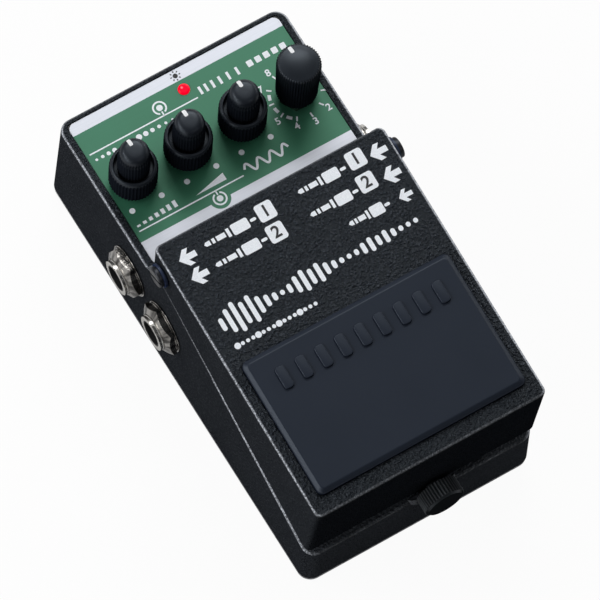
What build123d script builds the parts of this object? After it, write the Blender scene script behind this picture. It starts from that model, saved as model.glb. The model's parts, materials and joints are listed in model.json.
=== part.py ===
from build123d import *
from math import cos, pi, radians, sin
import os

# A compact foot pedal with a hinged treadle over a die-cast case.
# X runs to the right, Y to the rear, Z up; the origin is the middle of the footprint on the floor.

# Gaps
overrun = 2.0                 # how far a cut runs past the face that it opens
seat_gap = 0.15               # between a part and the pocket that it drops into
running_gap = 0.05            # radial, between a shaft and its hole
body_gap = 0.4                # between bodies that move past each other
edge_pick = 0.15              # an edge this close to a surface counts as lying on it

# Case
case_length = 123.8
case_width = 65.2
case_corner = 3.5
case_wall = 2.6
case_side_lean = 0.5          # each side wall leans in by this at the shoulder
case_rear_lean = 2.2
case_front_lean = 0.5
case_edge_round = 1.0
rim_height = 40.0
rim_length = 45.5             # level rim round the control panel, from the rear
shoulder_height = 44.9        # highest point of the side walls, by the hinge
shoulder_setback = 51.5       # from the rear
ledge_height = 18.6           # top of the front wall
deck_thickness = 2.5
shelf_height = 15.2           # floor of the battery compartment
shelf_thickness = 2.5
bulkhead_setback = 81.5       # rear face of the wall behind the battery compartment, from the rear
bulkhead_thickness = 2.5
post_radius = 3.1
rail_thickness = 1.3          # upstand inside the treadle's skirt
rail_rise = 4.0               # above the wall that it stands on
rail_setback = 2.0            # front upstand behind the front wall
post_inset = 6.0              # corner posts, in from the outer foot of the case

# Bottom
sheet_thickness = 1.8
sheet_inset = 0.8
plate_thickness = 1.2
plate_inset = 0.1
plate_screw_radius = 1.5
plate_screw_length = 8.0
plate_screw_head_radius = 2.6
plate_screw_head_height = 1.2
screw_slot_width = 0.7
screw_slot_depth = 0.5
hinge_slot_turn = 25          # degrees

# Control panel
panel_side_inset = 2.7        # from the outer foot of each side wall
panel_length = 41.9
panel_rear_inset = 3.4        # from the outer foot of the rear wall
panel_corner = 0.8
panel_thickness = 1.0
panel_depth = 0.3             # top of the panel below the rim

# Knobs
knob_count = 4
knob_pitch = 15.5
knob_row_setback = 24.0       # from the outer foot of the rear wall
ring_radius = 6.05
ring_height = 8.8
ring_lift = 1.4               # underside above the panel
ring_mouth_radius = 4.85
ring_mouth_depth = 2.2
ring_lip = 0.5
cap_radius = 4.05
cap_top_radius = 3.75
cap_height = 10.9
cap_round = 1.1
cap_crown = 2.2               # solid top above the end of the shaft
mode_radius = 5.6
mode_foot_radius = 5.25
mode_round = 0.5
knurl_depth = 0.22
ring_teeth = 36
cap_teeth = 24
mode_teeth = 40
mark_width = 1.0
mark_length = 2.1
mark_depth = 0.25
mark_rim_gap = 0.35

# Pots
pot_width = 11.0
pot_height = 7.6
pot_bush_radius = 3.1
pot_bush_height = 7.2
pot_nut_flats = 8.2
pot_nut_height = 1.9
ring_shaft_radius = 2.35
ring_shaft_grip = 3.2         # length of the outer shaft inside its knob
cap_shaft_radius = 1.6
shaft_foot = 2.5              # shaft ends above the underside of the pot
nut_recess_radius = 5.1

# Indicator
led_radius = 1.5
led_flange_radius = 1.9
led_flange_height = 1.0
led_rise = 0.6                # dome above the panel
led_round_share = 0.9
led_setback = 9.2             # from the outer foot of the rear wall
spacer_radius = 2.4

# Boards
board_thickness = 1.6
main_board_lift = 5.4         # above the steel bottom
main_board_side_gap = 1.5
main_board_front_gap = 9.4    # from the outer foot of the front wall
main_board_rear_gap = 11.2
control_board_side_gap = 1.0
control_board_length = 22.5
pillar_radius = 2.2
pillar_rear_setback = 13.6
pillar_front_setback = 15.0
pillar_side_gap = 2.5         # from the inner face of the side wall to the pillar's axis
front_pillar_side_gap = 9.5
board_screw_radius = 1.0
board_screw_length = 4.0
board_screw_head_radius = 1.9
board_screw_head_height = 1.3
header_width = 13.0
header_depth = 2.6
header_setback = 9.0
chip_height = 1.2
chip_sizes = ((14.0, 14.0), (7.0, 9.0), (6.0, 6.0))
chip_width_shares = (-0.2, 0.22, 0.05)
chip_length_shares = (-0.2, -0.26, -0.36)

# Jacks
jack_reach = 3.9              # mouth of the bush beyond the foot of the side wall
jack_height = 24.5
jack_rear_setback = 38.7
jack_pitch = 16.9
jack_bush_radius = 4.7
jack_bore_radius = 3.25
jack_bore_length = 29.0
jack_body_length = 24.5
jack_body_width = 14.0
jack_body_height = 13.0
jack_nut_flats = 12.6
jack_nut_height = 2.4
jack_nut_chamfer = 0.7
jack_washer_radius = 7.3
jack_washer_height = 0.7
jack_pin_width = 0.9
jack_pin_shares = (0.2, 0.5, 0.8)
dc_height = 17.0
dc_barrel_radius = 4.6
dc_bore_radius = 2.85
dc_bore_depth = 9.5
dc_pin_radius = 1.0
dc_pin_recess = 1.2
dc_recess = 0.8               # barrel mouth behind the outer wall
dc_body_length = 12.0
dc_body_width = 11.0

# Treadle
treadle_reveal = 0.4          # each side, in from the foot of the side wall
treadle_length = 77.5
treadle_overhang = 1.6        # top front edge ahead of the foot of the case
treadle_front_height = 50.4
treadle_rear_height = 58.1
treadle_corner = 1.8
treadle_lean = 0.5            # each side of the skirt spreads by this from top to bottom
treadle_front_lean = 2.8      # the front wall leans back by this from the face to the ledge
treadle_wall = 2.2
treadle_top = 2.5
treadle_edge_round = 1.0
skirt_front_height = 21.6
skirt_rear_height = 47.6
apron_height = 43.6           # lower edge of the rear wall between the hinge ears
pad_length = 37.6
pad_side_gap = 3.1
pad_front_gap = 4.5
pad_thickness = 1.5
pad_groove = 0.6              # pad sunk in the treadle
pad_corner = 1.6
pad_edge = 0.8

# Hinge
hinge_setback = 5.15          # axis ahead of the treadle's rear edge
hinge_height = 52.1
hinge_screw_radius = 1.45
hinge_screw_length = 3.6      # thread in the ear
hinge_shoulder_radius = 1.8
hinge_head_radius = 2.75
hinge_head_height = 1.2
hinge_head_round = 0.5
bush_radius = 2.5
bush_flange_radius = 3.2
bush_flange_height = 0.6
ear_radius = 2.5
ear_thickness = 4.0
press_angle = 1.7             # travel of the treadle when stepped on, degrees

# Thumbscrew
thumb_reach = 5.2             # face of the head ahead of the foot of the case
thumb_offset = 3.2            # right of the middle
thumb_height = 21.9
thumb_head_radius = 5.5
thumb_head_length = 4.6
thumb_head_round = 0.5
thumb_teeth = 40
thumb_knurl_depth = 0.3
thumb_shank_radius = 2.0
thumb_recess = 1.4            # depth of the hollow for the head in the front wall
washer_radius = 3.2
washer_thickness = 0.5
lug_width = 9.0
lug_thickness = 3.6
lug_gap = 1.2                 # between the lug and the front wall
saddle_wall = 1.2
saddle_flange = 0.9

# Battery, spring and switch
battery_length = 48.5
battery_height = 26.5
battery_depth = 17.5
battery_edge = 1.5
battery_side_gap = 2.25       # left end of the battery from the side wall
battery_gap = 1.6             # behind the lug, which swings back as the treadle is pressed
terminal_pitch = 12.7
terminal_radius = 2.9
terminal_height = 2.4
snap_thickness = 4.0
snap_width = 25.0
snap_depth = 13.0
lead_radius = 0.65
lead_pitch = 4.0
lead_bend = 2.5
lead_drop_gap = 7.5           # behind the battery
lead_hole_radius = 2.4
spring_gap = 7.0              # spring axis behind the battery
spring_radius = 3.6           # to the middle of the wire
spring_wire_radius = 0.45
spring_turns = 7
spring_seat_height = 12.0
spring_seat_radius = 5.6
spring_boss_radius = 5.4
spring_nose_radius = 2.6
spring_nose_length = 3.0
spring_length = 15.0
switch_side_gap = 12.5        # middle of the switch from the side wall
switch_width = 12.0
switch_height = 14.0
plunger_radius = 2.5
plunger_rise = 5.0            # above the switch body
plunger_depth = 4.0           # inside the switch body
bumper_radius = 4.5
bumper_height = 3.0
bumper_gap = 1.5              # above the plunger at rest

# Places that follow from the sizes above
overall_depth = case_length + thumb_reach
case_rear = overall_depth / 2
case_front = case_rear - case_length
case_foot = sheet_thickness + plate_thickness
rim_front = case_rear - rim_length
shoulder_y = case_rear - shoulder_setback
bulkhead = case_rear - bulkhead_setback
compartment_rear = bulkhead - bulkhead_thickness
inner_half = case_width / 2 - case_side_lean - case_wall
rail_half = inner_half - rail_thickness
inner_rear = case_rear - case_rear_lean - case_wall
inner_front = case_front + case_wall
rail_front = inner_front + rail_setback
panel_width = case_width - 2 * panel_side_inset
panel_top = rim_height - panel_depth
recess_floor = panel_top - panel_thickness
deck_under = recess_floor - deck_thickness
panel_rear = case_rear - panel_rear_inset
panel_front = panel_rear - panel_length
knob_row = case_rear - knob_row_setback
knob_places = [(i - (knob_count - 1) / 2) * knob_pitch for i in range(knob_count)]
ring_foot = panel_top + ring_lift
ring_top = ring_foot + ring_height
cap_foot = ring_top - ring_mouth_depth + body_gap
overall_height = cap_foot + cap_height
pot_foot = deck_under - pot_height
led_y = case_rear - led_setback
main_board_width = 2 * (inner_half - main_board_side_gap)
control_board_width = 2 * (inner_half - control_board_side_gap)
main_board_foot = case_foot + main_board_lift
main_board_top = main_board_foot + board_thickness
main_board_front = case_front + main_board_front_gap
main_board_rear = case_rear - main_board_rear_gap
control_board_foot = pot_foot - board_thickness
control_board_rear = inner_rear - case_wall
jack_places = [case_rear - jack_rear_setback - i * jack_pitch for i in range(3)]
jack_spots = [(-1, y) for y in jack_places[:2]] + [(1, y) for y in jack_places]
jack_mouth = case_width / 2 + jack_reach
treadle_front = case_front - treadle_overhang
treadle_rear = treadle_front + treadle_length
treadle_width = case_width - 2 * treadle_reveal
pad_width = treadle_width - 2 * pad_side_gap
treadle_half = treadle_width / 2
treadle_inner_half = treadle_half - treadle_wall
hinge_y = treadle_rear - hinge_setback
ear_outer = treadle_inner_half - body_gap
flange_inner = treadle_half + treadle_lean + running_gap
head_inner = flange_inner + bush_flange_height + running_gap
thumb_mouth = -overall_depth / 2
thumb_back = thumb_mouth + thumb_head_length
thumb_drop = (hinge_y - thumb_mouth) * radians(press_angle)
thumb_seat = case_front + thumb_recess
saddle_floor = thumb_height - thumb_drop - thumb_shank_radius - body_gap - saddle_wall
lug_front = inner_front + lug_gap
lug_rear = lug_front + lug_thickness
battery_offset = battery_side_gap + battery_length / 2 - inner_half
battery_front = lug_rear + battery_gap
battery_rear = battery_front + battery_depth
battery_top = shelf_height + battery_height
spring_y = battery_rear + spring_gap
spring_foot = shelf_height + spring_seat_height
spring_head = spring_foot + spring_length
plunger_top = shelf_height + switch_height + plunger_rise
bumper_foot = plunger_top + bumper_gap
switch_offset = inner_half - switch_side_gap
post_places = [(side * (case_width / 2 - post_inset), y) for side in (-1, 1)
               for y in (case_front + post_inset, case_rear - post_inset)]
pillar_places = [(side * (inner_half - pillar_side_gap), case_rear - pillar_rear_setback)
                 for side in (-1, 1)]
front_pillar_places = [(side * (inner_half - front_pillar_side_gap), case_front + pillar_front_setback)
                       for side in (-1, 1)]


def block(xs, ys, zs):
    size = [high - low for low, high in (xs, ys, zs)]
    middle = [(high + low) / 2 for low, high in (xs, ys, zs)]
    return Pos(*middle) * Box(*size)


def around(middle, width):
    return middle - width / 2, middle + width / 2


def post(radius, low, high, x=0, y=0):
    return Pos(x, y, low) * Cylinder(radius, high - low, align=(Align.CENTER, Align.CENTER, Align.MIN))


def rod_x(radius, low, high, y, z):
    return Pos(low, y, z) * Rot(0, 90, 0) * post(radius, 0, high - low)


def rod_y(radius, low, high, x, z):
    return Pos(x, low, z) * Rot(-90, 0, 0) * post(radius, 0, high - low)


def cone(foot_radius, head_radius, low, high):
    foot = Pos(0, 0, low) * Circle(foot_radius)
    head = Pos(0, 0, high) * Circle(head_radius)
    return loft([foot, head])


def hex_prism(flats, height):
    return extrude(RegularPolygon(flats / 2, 6, major_radius=False), height)


def star(radius, depth, teeth):
    # A knurled outline: one crest and one root to each tooth
    points = []
    for i in range(2 * teeth):
        reach = radius - depth * (i % 2)
        turn = pi * i / teeth
        points.append((reach * cos(turn), reach * sin(turn)))
    return make_face(Polyline(*points, close=True))


def rounded_outline(width, front, rear, level, corner):
    return Pos(0, (front + rear) / 2, level) * RectangleRounded(width, rear - front, corner)


def slab_x(points, half):
    # A solid with this outline in the Y-Z plane, centred on X
    return extrude(Plane.YZ * make_face(Polyline(*points, close=True)), half, both=True)


def edges_at(solid, height_at):
    # Edges whose two ends lie on the surface z = height_at(y)
    found = []
    for edge in solid.edges():
        ends = [edge.position_at(0), edge.position_at(1)]
        if all(abs(p.Z - height_at(p.Y)) < edge_pick for p in ends):
            found.append(edge)
    return found


def line_between(y0, z0, y1, z1):
    return lambda y: z0 + (z1 - z0) * (y - y0) / (y1 - y0)


wall_top = line_between(case_front, ledge_height, shoulder_y, shoulder_height)
treadle_face = line_between(treadle_front, treadle_front_height, treadle_rear, treadle_rear_height)
skirt_foot = line_between(treadle_front, skirt_front_height, treadle_rear, skirt_rear_height)
treadle_nose = line_between(treadle_front_height, treadle_front,
                            ledge_height, treadle_front + treadle_front_lean)
treadle_under = line_between(treadle_front, treadle_front_height - treadle_top,
                             treadle_rear, treadle_rear_height - treadle_top)


def case_block():
    foot = rounded_outline(case_width, case_front, case_rear, case_foot, case_corner)
    head = rounded_outline(case_width - 2 * case_side_lean, case_front + case_front_lean,
                           case_rear - case_rear_lean, shoulder_height, case_corner)
    behind, ahead = case_rear + overrun, case_front - overrun
    profile = [(behind, case_foot), (behind, rim_height), (rim_front, rim_height)]
    profile += [(shoulder_y, shoulder_height), (case_front, ledge_height)]
    profile += [(ahead, ledge_height), (ahead, case_foot)]
    solid = loft([foot, head]) & slab_x(profile, case_width)
    tops = edges_at(solid, lambda y: rim_height) + edges_at(solid, wall_top)
    outer = [e for e in tops if not runs_across(e)]
    return fillet(outer, case_edge_round)


def runs_across(edge):
    # True for the edges that cross the case between its front and rear walls
    start, end = (edge @ 0).Y, (edge @ 1).Y
    return abs(start - end) < edge_pick and case_front + case_corner < start < panel_rear


def case_cavities():
    low = case_foot - overrun
    roof = [(inner_rear, low), (inner_rear, deck_under), (shoulder_y - deck_thickness, deck_under),
            (bulkhead, wall_top(bulkhead) - deck_thickness), (bulkhead, low)]
    rear = slab_x(roof, inner_half)
    under = block((-inner_half, inner_half), (inner_front, bulkhead + overrun),
                  (low, shelf_height - shelf_thickness))
    wide = (-rail_half, rail_half)
    compartment = block(wide, (inner_front, compartment_rear), (shelf_height, rim_height + overrun))
    above_deck = block(wide, (bulkhead, rim_front), (rim_height, shoulder_height + overrun))
    return rear, under, compartment, above_deck


def case_rails():
    # Upstands inside the treadle's skirt, along both sides and across the front
    rear = hinge_y - ear_radius - body_gap
    ends = [(rail_front, wall_top(rail_front)), (rear, wall_top(rear))]
    profile = [(y, z - rail_thickness) for y, z in ends] + [(y, z + rail_rise) for y, z in reversed(ends)]
    between = block((-rail_half, rail_half), (case_front, case_rear), (0, overall_height))
    sides = slab_x(profile, inner_half) - between
    front = block((-inner_half, inner_half), (rail_front, rail_front + rail_thickness),
                  (shelf_height - rail_thickness, ledge_height + rail_rise))
    window_width = 2 * (thumb_head_radius + saddle_wall)
    window = block(around(thumb_offset, window_width), (inner_front, rail_front + overrun),
                   (shelf_height, ledge_height + rail_rise + overrun))
    return sides + front - window


def panel_outline(extra):
    corner = panel_corner + extra
    return rounded_outline(panel_width + 2 * extra, panel_front - extra, panel_rear + extra, 0, corner)


def case_holes():
    recess_depth = panel_depth + panel_thickness + overrun
    cuts = [Pos(0, 0, recess_floor) * extrude(panel_outline(seat_gap), recess_depth)]
    for x in knob_places:
        cuts.append(post(pot_bush_radius + running_gap, deck_under - overrun, rim_height, x, knob_row))
    cuts.append(post(spacer_radius + seat_gap, deck_under - overrun, rim_height, 0, led_y))
    for side, y in jack_spots:
        ends = sorted((side * (inner_half - overrun), side * (jack_mouth + overrun)))
        cuts.append(rod_x(jack_bush_radius + running_gap, *ends, y, jack_height))
    behind = case_rear + overrun
    cuts.append(rod_y(dc_barrel_radius + running_gap, inner_rear - overrun, behind, 0, dc_height))
    for x, y in post_places:
        top = case_foot + plate_screw_length
        cuts.append(post(plate_screw_radius + running_gap, case_foot - overrun, top, x, y))
    for x, y in pillar_places + front_pillar_places:
        top = main_board_top + board_screw_length
        cuts.append(post(board_screw_radius + running_gap, main_board_foot, top, x, y))
    cuts.append(post(lead_hole_radius, shelf_height - shelf_thickness - overrun, shelf_height + overrun,
                     lead_x(), battery_rear + lead_drop_gap))
    half = thumb_shank_radius + body_gap + saddle_wall
    cuts.append(block(around(thumb_offset, 2 * half), (case_front - overrun, inner_front + overrun),
                      (saddle_floor, ledge_height + overrun)))
    hollow = thumb_head_radius + body_gap + thumb_drop / 2
    cuts.append(rod_y(hollow, case_front - overrun, thumb_seat, thumb_offset, thumb_height - thumb_drop / 2))
    return cuts


def hinge_ear(side):
    ends = sorted((side * (ear_outer - ear_thickness), side * ear_outer))
    upright = block(ends, around(hinge_y, 2 * ear_radius), (deck_under, hinge_height))
    ear = upright + rod_x(ear_radius, *ends, hinge_y, hinge_height)
    return ear - rod_x(hinge_screw_radius + running_gap, *ends, hinge_y, hinge_height)


def base_case():
    solid = case_block()
    for cavity in case_cavities():
        solid -= cavity
    solid += case_rails()
    for x, y in post_places:
        roof = shelf_height - shelf_thickness if y < 0 else deck_under
        solid += post(post_radius, case_foot, roof, x, y)
    for x, y in pillar_places:
        solid += post(pillar_radius, main_board_top, deck_under, x, y)
    for x, y in front_pillar_places:
        solid += post(pillar_radius, main_board_top, shelf_height - shelf_thickness, x, y)
    for side in (-1, 1):
        solid += hinge_ear(side)
    for cut in case_holes():
        solid -= cut
    return solid


def bottom_plate():
    front, rear = case_front + plate_inset, case_rear - plate_inset
    outline = rounded_outline(case_width - 2 * plate_inset, front, rear, sheet_thickness, case_corner)
    solid = extrude(outline, plate_thickness)
    for x, y in post_places:
        solid -= post(plate_screw_radius + seat_gap, 0, case_foot + overrun, x, y)
    return solid


def base_rubber_sheet():
    front, rear = case_front + sheet_inset, case_rear - sheet_inset
    outline = rounded_outline(case_width - 2 * sheet_inset, front, rear, 0, case_corner)
    solid = extrude(outline, sheet_thickness)
    for x, y in post_places:
        solid -= post(plate_screw_head_radius + body_gap, -overrun, sheet_thickness + overrun, x, y)
    return solid


def bottom_plate_screws():
    screws = []
    for x, y in post_places:
        low = sheet_thickness - plate_screw_head_height
        screw = post(plate_screw_head_radius, low, sheet_thickness, x, y)
        screw += post(plate_screw_radius, sheet_thickness, case_foot + plate_screw_length - overrun, x, y)
        for turn in (0, 90):
            slot = Box(2 * plate_screw_head_radius, screw_slot_width, 2 * screw_slot_depth)
            screw -= Pos(x, y, low) * Rot(0, 0, turn) * slot
        screws.append(screw)
    return screws


def control_panel_plate():
    solid = Pos(0, 0, recess_floor) * extrude(panel_outline(0), panel_thickness)
    for x in knob_places:
        solid -= post(pot_bush_radius + running_gap, recess_floor - overrun, rim_height, x, knob_row)
    return solid - post(led_radius + running_gap, recess_floor - overrun, rim_height, 0, led_y)


def dual_pot():
    body = block(around(0, pot_width), around(0, pot_width), (pot_foot, deck_under))
    body += post(pot_bush_radius, deck_under, deck_under + pot_bush_height)
    body -= post(ring_shaft_radius + running_gap, pot_foot + 2 * shaft_foot, rim_height + pot_bush_height)
    return body - post(cap_shaft_radius + running_gap, pot_foot + shaft_foot, rim_height)


def mode_switch():
    body = block(around(0, pot_width), around(0, pot_width), (pot_foot, deck_under))
    body += post(pot_bush_radius, deck_under, deck_under + pot_bush_height)
    return body - post(ring_shaft_radius + running_gap, pot_foot + shaft_foot, rim_height + pot_bush_height)


def pot_nut():
    nut = Pos(0, 0, panel_top) * hex_prism(pot_nut_flats, pot_nut_height)
    top = panel_top + pot_nut_height + overrun
    return nut - post(pot_bush_radius + running_gap, panel_top - overrun, top)


ring_web = ring_top - ring_mouth_depth - ring_shaft_grip      # underside of the outer knob's web


def outer_shaft():
    tube = post(ring_shaft_radius, pot_foot + 2 * shaft_foot + body_gap, ring_top - ring_mouth_depth)
    return tube - post(cap_shaft_radius + running_gap, pot_foot, ring_top)


def inner_shaft():
    return post(cap_shaft_radius, pot_foot + shaft_foot + body_gap, overall_height - cap_crown)


def knob_mark(reach, top):
    # A pointer groove that runs in from the rear rim
    return Pos(0, reach - mark_rim_gap - mark_length / 2, top) * Box(mark_width, mark_length, 2 * mark_depth)


def outer_knob():
    knob = Pos(0, 0, ring_foot) * extrude(star(ring_radius, knurl_depth, ring_teeth), ring_height - ring_lip)
    root = ring_radius - knurl_depth
    knob += cone(root, root - ring_lip, ring_top - ring_lip, ring_top)
    knob -= post(ring_mouth_radius, ring_top - ring_mouth_depth, ring_top + overrun)
    knob -= post(nut_recess_radius, ring_foot - overrun, ring_web)
    return knob - post(ring_shaft_radius, ring_foot, ring_top)


def inner_knob():
    shoulder = overall_height - cap_round
    body = Pos(0, 0, cap_foot) * extrude(star(cap_radius, knurl_depth, cap_teeth), ring_mouth_depth)
    body += cone(cap_radius - knurl_depth, cap_top_radius, cap_foot, shoulder)
    crown = fillet(post(cap_top_radius, cap_foot, overall_height).edges().sort_by(Axis.Z)[-1], cap_round)
    knob = body + crown
    knob -= post(cap_shaft_radius, cap_foot - overrun, overall_height - cap_crown)
    return knob - knob_mark(cap_top_radius, overall_height)


def mode_shaft():
    return post(ring_shaft_radius, pot_foot + shaft_foot + body_gap, overall_height - cap_crown)


def mode_knob():
    low = panel_top + pot_nut_height + body_gap
    foot = Pos(0, 0, low) * star(mode_foot_radius, knurl_depth, mode_teeth)
    head = Pos(0, 0, overall_height - mode_round) * star(mode_radius, knurl_depth, mode_teeth)
    root = mode_radius - knurl_depth
    knob = loft([foot, head], ruled=True)
    knob += cone(root, root - mode_round, overall_height - mode_round, overall_height)
    knob -= post(pot_bush_radius + body_gap, low - overrun, deck_under + pot_bush_height + body_gap)
    knob -= post(ring_shaft_radius, low, overall_height - cap_crown)
    return knob - knob_mark(mode_radius - mode_round, overall_height)


def check_led():
    flange = post(led_flange_radius, recess_floor - led_flange_height, recess_floor - running_gap)
    return Pos(0, led_y, 0) * (flange + led_bulb())


def led_bulb():
    shaft = post(led_radius, recess_floor - led_flange_height, panel_top)
    top = panel_top + led_rise
    lens = fillet(post(led_radius, panel_top, top).edges().sort_by(Axis.Z)[-1], led_rise * led_round_share)
    return shaft + lens


def led_spacer():
    tube = post(spacer_radius, pot_foot, recess_floor - led_flange_height, 0, led_y)
    return tube - post(led_radius / 2, pot_foot - overrun, recess_floor, 0, led_y)


def main_board():
    solid = block(around(0, main_board_width), (main_board_front, main_board_rear),
                  (main_board_foot, main_board_top))
    low, high = main_board_foot - overrun, main_board_top + overrun
    for x, y in pillar_places + front_pillar_places:
        solid -= post(board_screw_radius + seat_gap, low, high, x, y)
    return solid


def control_board():
    front = control_board_rear - control_board_length
    wide = around(0, control_board_width)
    solid = block(wide, (front, control_board_rear), (control_board_foot, pot_foot))
    for x, y in post_places + pillar_places:
        solid -= post(post_radius + body_gap, control_board_foot - overrun, pot_foot + overrun, x, y)
    return solid


def board_header():
    y = control_board_rear - header_setback
    return block(around(-main_board_width / 4, header_width), around(y, header_depth),
                 (main_board_top, control_board_foot))


def board_screws():
    screws = []
    for x, y in pillar_places + front_pillar_places:
        low = main_board_foot - board_screw_head_height
        screw = post(board_screw_head_radius, low, main_board_foot, x, y)
        high = main_board_top + board_screw_length - body_gap
        screw += post(board_screw_radius, main_board_foot, high, x, y)
        slot = Box(2 * board_screw_head_radius, screw_slot_width, 2 * screw_slot_depth)
        screws.append(screw - Pos(x, y, low) * slot)
    return screws


def board_chips():
    chips = []
    length = main_board_rear - main_board_front
    for (wide, deep), x_share, y_share in zip(chip_sizes, chip_width_shares, chip_length_shares):
        y = (main_board_rear + main_board_front) / 2 + y_share * length
        chips.append(block(around(x_share * main_board_width, wide), around(y, deep),
                           (main_board_top, main_board_top + chip_height)))
    return chips


def jack(side, y):
    # Drawn for the right wall and turned half round for the left one
    body = block((inner_half - jack_body_length, inner_half), around(0, jack_body_width),
                 around(jack_height, jack_body_height))
    solid = body + rod_x(jack_bush_radius, inner_half, jack_mouth, 0, jack_height)
    for share in jack_pin_shares:
        x = inner_half - share * jack_body_length
        solid += block(around(x, jack_pin_width), around(0, jack_pin_width), (main_board_top, jack_height))
    solid -= rod_x(jack_bore_radius, jack_mouth - jack_bore_length, jack_mouth + overrun, 0, jack_height)
    return Pos(0, y, 0) * Rot(0, 0, 0 if side > 0 else 180) * solid


washer_rise_share = (jack_height - jack_washer_radius - case_foot) / (shoulder_height - case_foot)
washer_seat = case_width / 2 - case_side_lean * washer_rise_share
nut_seat = washer_seat + jack_washer_height


def jack_washers():
    rings = []
    for side, y in jack_spots:
        ring = rod_x(jack_washer_radius, washer_seat, nut_seat, 0, jack_height)
        hole = jack_bush_radius + running_gap
        ring -= rod_x(hole, washer_seat - overrun, nut_seat + overrun, 0, jack_height)
        rings.append(Pos(0, y, 0) * Rot(0, 0, 0 if side > 0 else 180) * ring)
    return rings


def jack_nuts():
    nuts = []
    corner = jack_nut_flats / 2 / cos(pi / 6)
    for side, y in jack_spots:
        nut = hex_prism(jack_nut_flats, jack_nut_height)
        nut &= cone(corner + jack_nut_height, corner - jack_nut_chamfer, -jack_nut_chamfer, jack_nut_height)
        nut -= post(jack_bush_radius + running_gap, -overrun, jack_nut_height + overrun)
        nut = Pos(nut_seat, 0, jack_height) * Rot(0, 90, 0) * Rot(0, 0, 30) * nut
        nuts.append(Pos(0, y, 0) * Rot(0, 0, 0 if side > 0 else 180) * nut)
    return nuts


def dc_jack():
    mouth = case_rear - case_rear_lean * dc_height / shoulder_height - dc_recess
    body = block(around(0, dc_body_width), (inner_rear - dc_body_length, inner_rear),
                 (main_board_top, dc_height + dc_barrel_radius + case_wall))
    solid = body + rod_y(dc_barrel_radius, inner_rear, mouth, 0, dc_height)
    solid -= rod_y(dc_bore_radius, mouth - dc_bore_depth, mouth + overrun, 0, dc_height)
    return solid + rod_y(dc_pin_radius, mouth - dc_bore_depth - overrun, mouth - dc_pin_recess, 0, dc_height)


def treadle_shell(inset, drop, low):
    # A tapered block under the sloping face, drawn in by inset and lowered by drop
    lean = treadle_lean
    top = treadle_rear_height + overrun
    width = treadle_width - 2 * inset
    rear = treadle_rear - inset
    head = rounded_outline(width, treadle_nose(top) + inset, rear, top, treadle_corner)
    foot = rounded_outline(width + 2 * lean, treadle_nose(low) + inset, rear, low, treadle_corner)
    y0, y1 = treadle_front - treadle_length, treadle_rear + treadle_length
    profile = [(y0, treadle_face(y0) - drop), (y1, treadle_face(y1) - drop)]
    profile += [(y1, low - overrun), (y0, low - overrun)]
    return loft([foot, head]) & slab_x(profile, treadle_width)


def treadle():
    outer = treadle_shell(0, 0, ledge_height)
    outer = fillet(edges_at(outer, treadle_face), treadle_edge_round)
    far = treadle_length
    y0, y1 = treadle_front - far, treadle_rear + far
    under = slab_x([(y0, skirt_foot(y0)), (y1, skirt_foot(y1)), (y1, -far), (y0, -far)], treadle_width)
    solid = outer - under - treadle_shell(treadle_wall, treadle_top, ledge_height - overrun)
    solid += thumb_lug() + spring_boss() + bumper_boss() + rear_apron()
    for cut in treadle_cuts():
        solid -= cut
    return solid


def thumb_lug():
    low = thumb_height - thumb_shank_radius - saddle_wall - body_gap
    high = treadle_under(lug_rear) + running_gap
    return block(around(thumb_offset, lug_width), (lug_front, lug_rear), (low, high))


def rear_apron():
    half = ear_outer - ear_thickness - body_gap
    top = treadle_under(treadle_rear)
    return block((-half, half), (treadle_rear - treadle_wall, treadle_rear), (apron_height, top))


def spring_boss():
    top = treadle_under(spring_y)
    boss = post(spring_boss_radius, spring_head, top, 0, spring_y)
    return boss + post(spring_nose_radius, spring_head - spring_nose_length, top, 0, spring_y)


def bumper_boss():
    return post(bumper_radius, bumper_foot + bumper_height, treadle_under(spring_y), switch_offset, spring_y)


def treadle_cuts():
    cuts = [Pos(0, 0, -pad_groove) * pad_block(seat_gap, 2 * pad_groove, 0)]
    axis = (thumb_offset, thumb_height)
    cuts.append(rod_y(thumb_shank_radius + running_gap, treadle_front, lug_rear + overrun, *axis))
    for side in (-1, 1):
        wall = sorted((side * (treadle_inner_half - overrun), side * (treadle_half + overrun)))
        cuts.append(rod_x(bush_radius + running_gap, *wall, hinge_y, hinge_height))
        ends = around(side * (ear_outer - ear_thickness / 2), ear_thickness + 2 * body_gap)
        top = hinge_height + ear_radius + body_gap
        cuts.append(block(ends, (hinge_y, treadle_rear + overrun), (ledge_height, top)))
    return cuts


def pad_block(extra, height, edge):
    # The pad lies on the sloping face; it is drawn level and tilted with the face
    front = treadle_front + pad_front_gap
    level = treadle_face(front)
    pitch = (treadle_rear_height - treadle_front_height) / treadle_length
    outline = RectangleRounded(pad_width + 2 * extra, pad_length + 2 * extra, pad_corner + extra)
    solid = extrude(outline, height)
    if edge:
        solid = chamfer(solid.edges().group_by(Axis.Z)[-1], edge)
    tilt = Plane(origin=(0, front, level), x_dir=(1, 0, 0), z_dir=(0, -pitch, 1))
    return tilt * Pos(0, pad_length / 2, 0) * solid


def treadle_pad():
    return Pos(0, 0, -pad_groove) * pad_block(0, pad_thickness + pad_groove, pad_edge)


def treadle_bumper():
    return post(bumper_radius, bumper_foot, bumper_foot + bumper_height, switch_offset, spring_y)


def hinge_bush(side):
    ends = sorted((side * (ear_outer + running_gap), side * flange_inner))
    flange = sorted((side * flange_inner, side * (flange_inner + bush_flange_height)))
    solid = rod_x(bush_radius, *ends, hinge_y, hinge_height)
    solid += rod_x(bush_flange_radius, *flange, hinge_y, hinge_height)
    bore = sorted((side * (ear_outer - overrun), side * (head_inner + overrun)))
    return solid - rod_x(hinge_shoulder_radius + running_gap, *bore, hinge_y, hinge_height)


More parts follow.
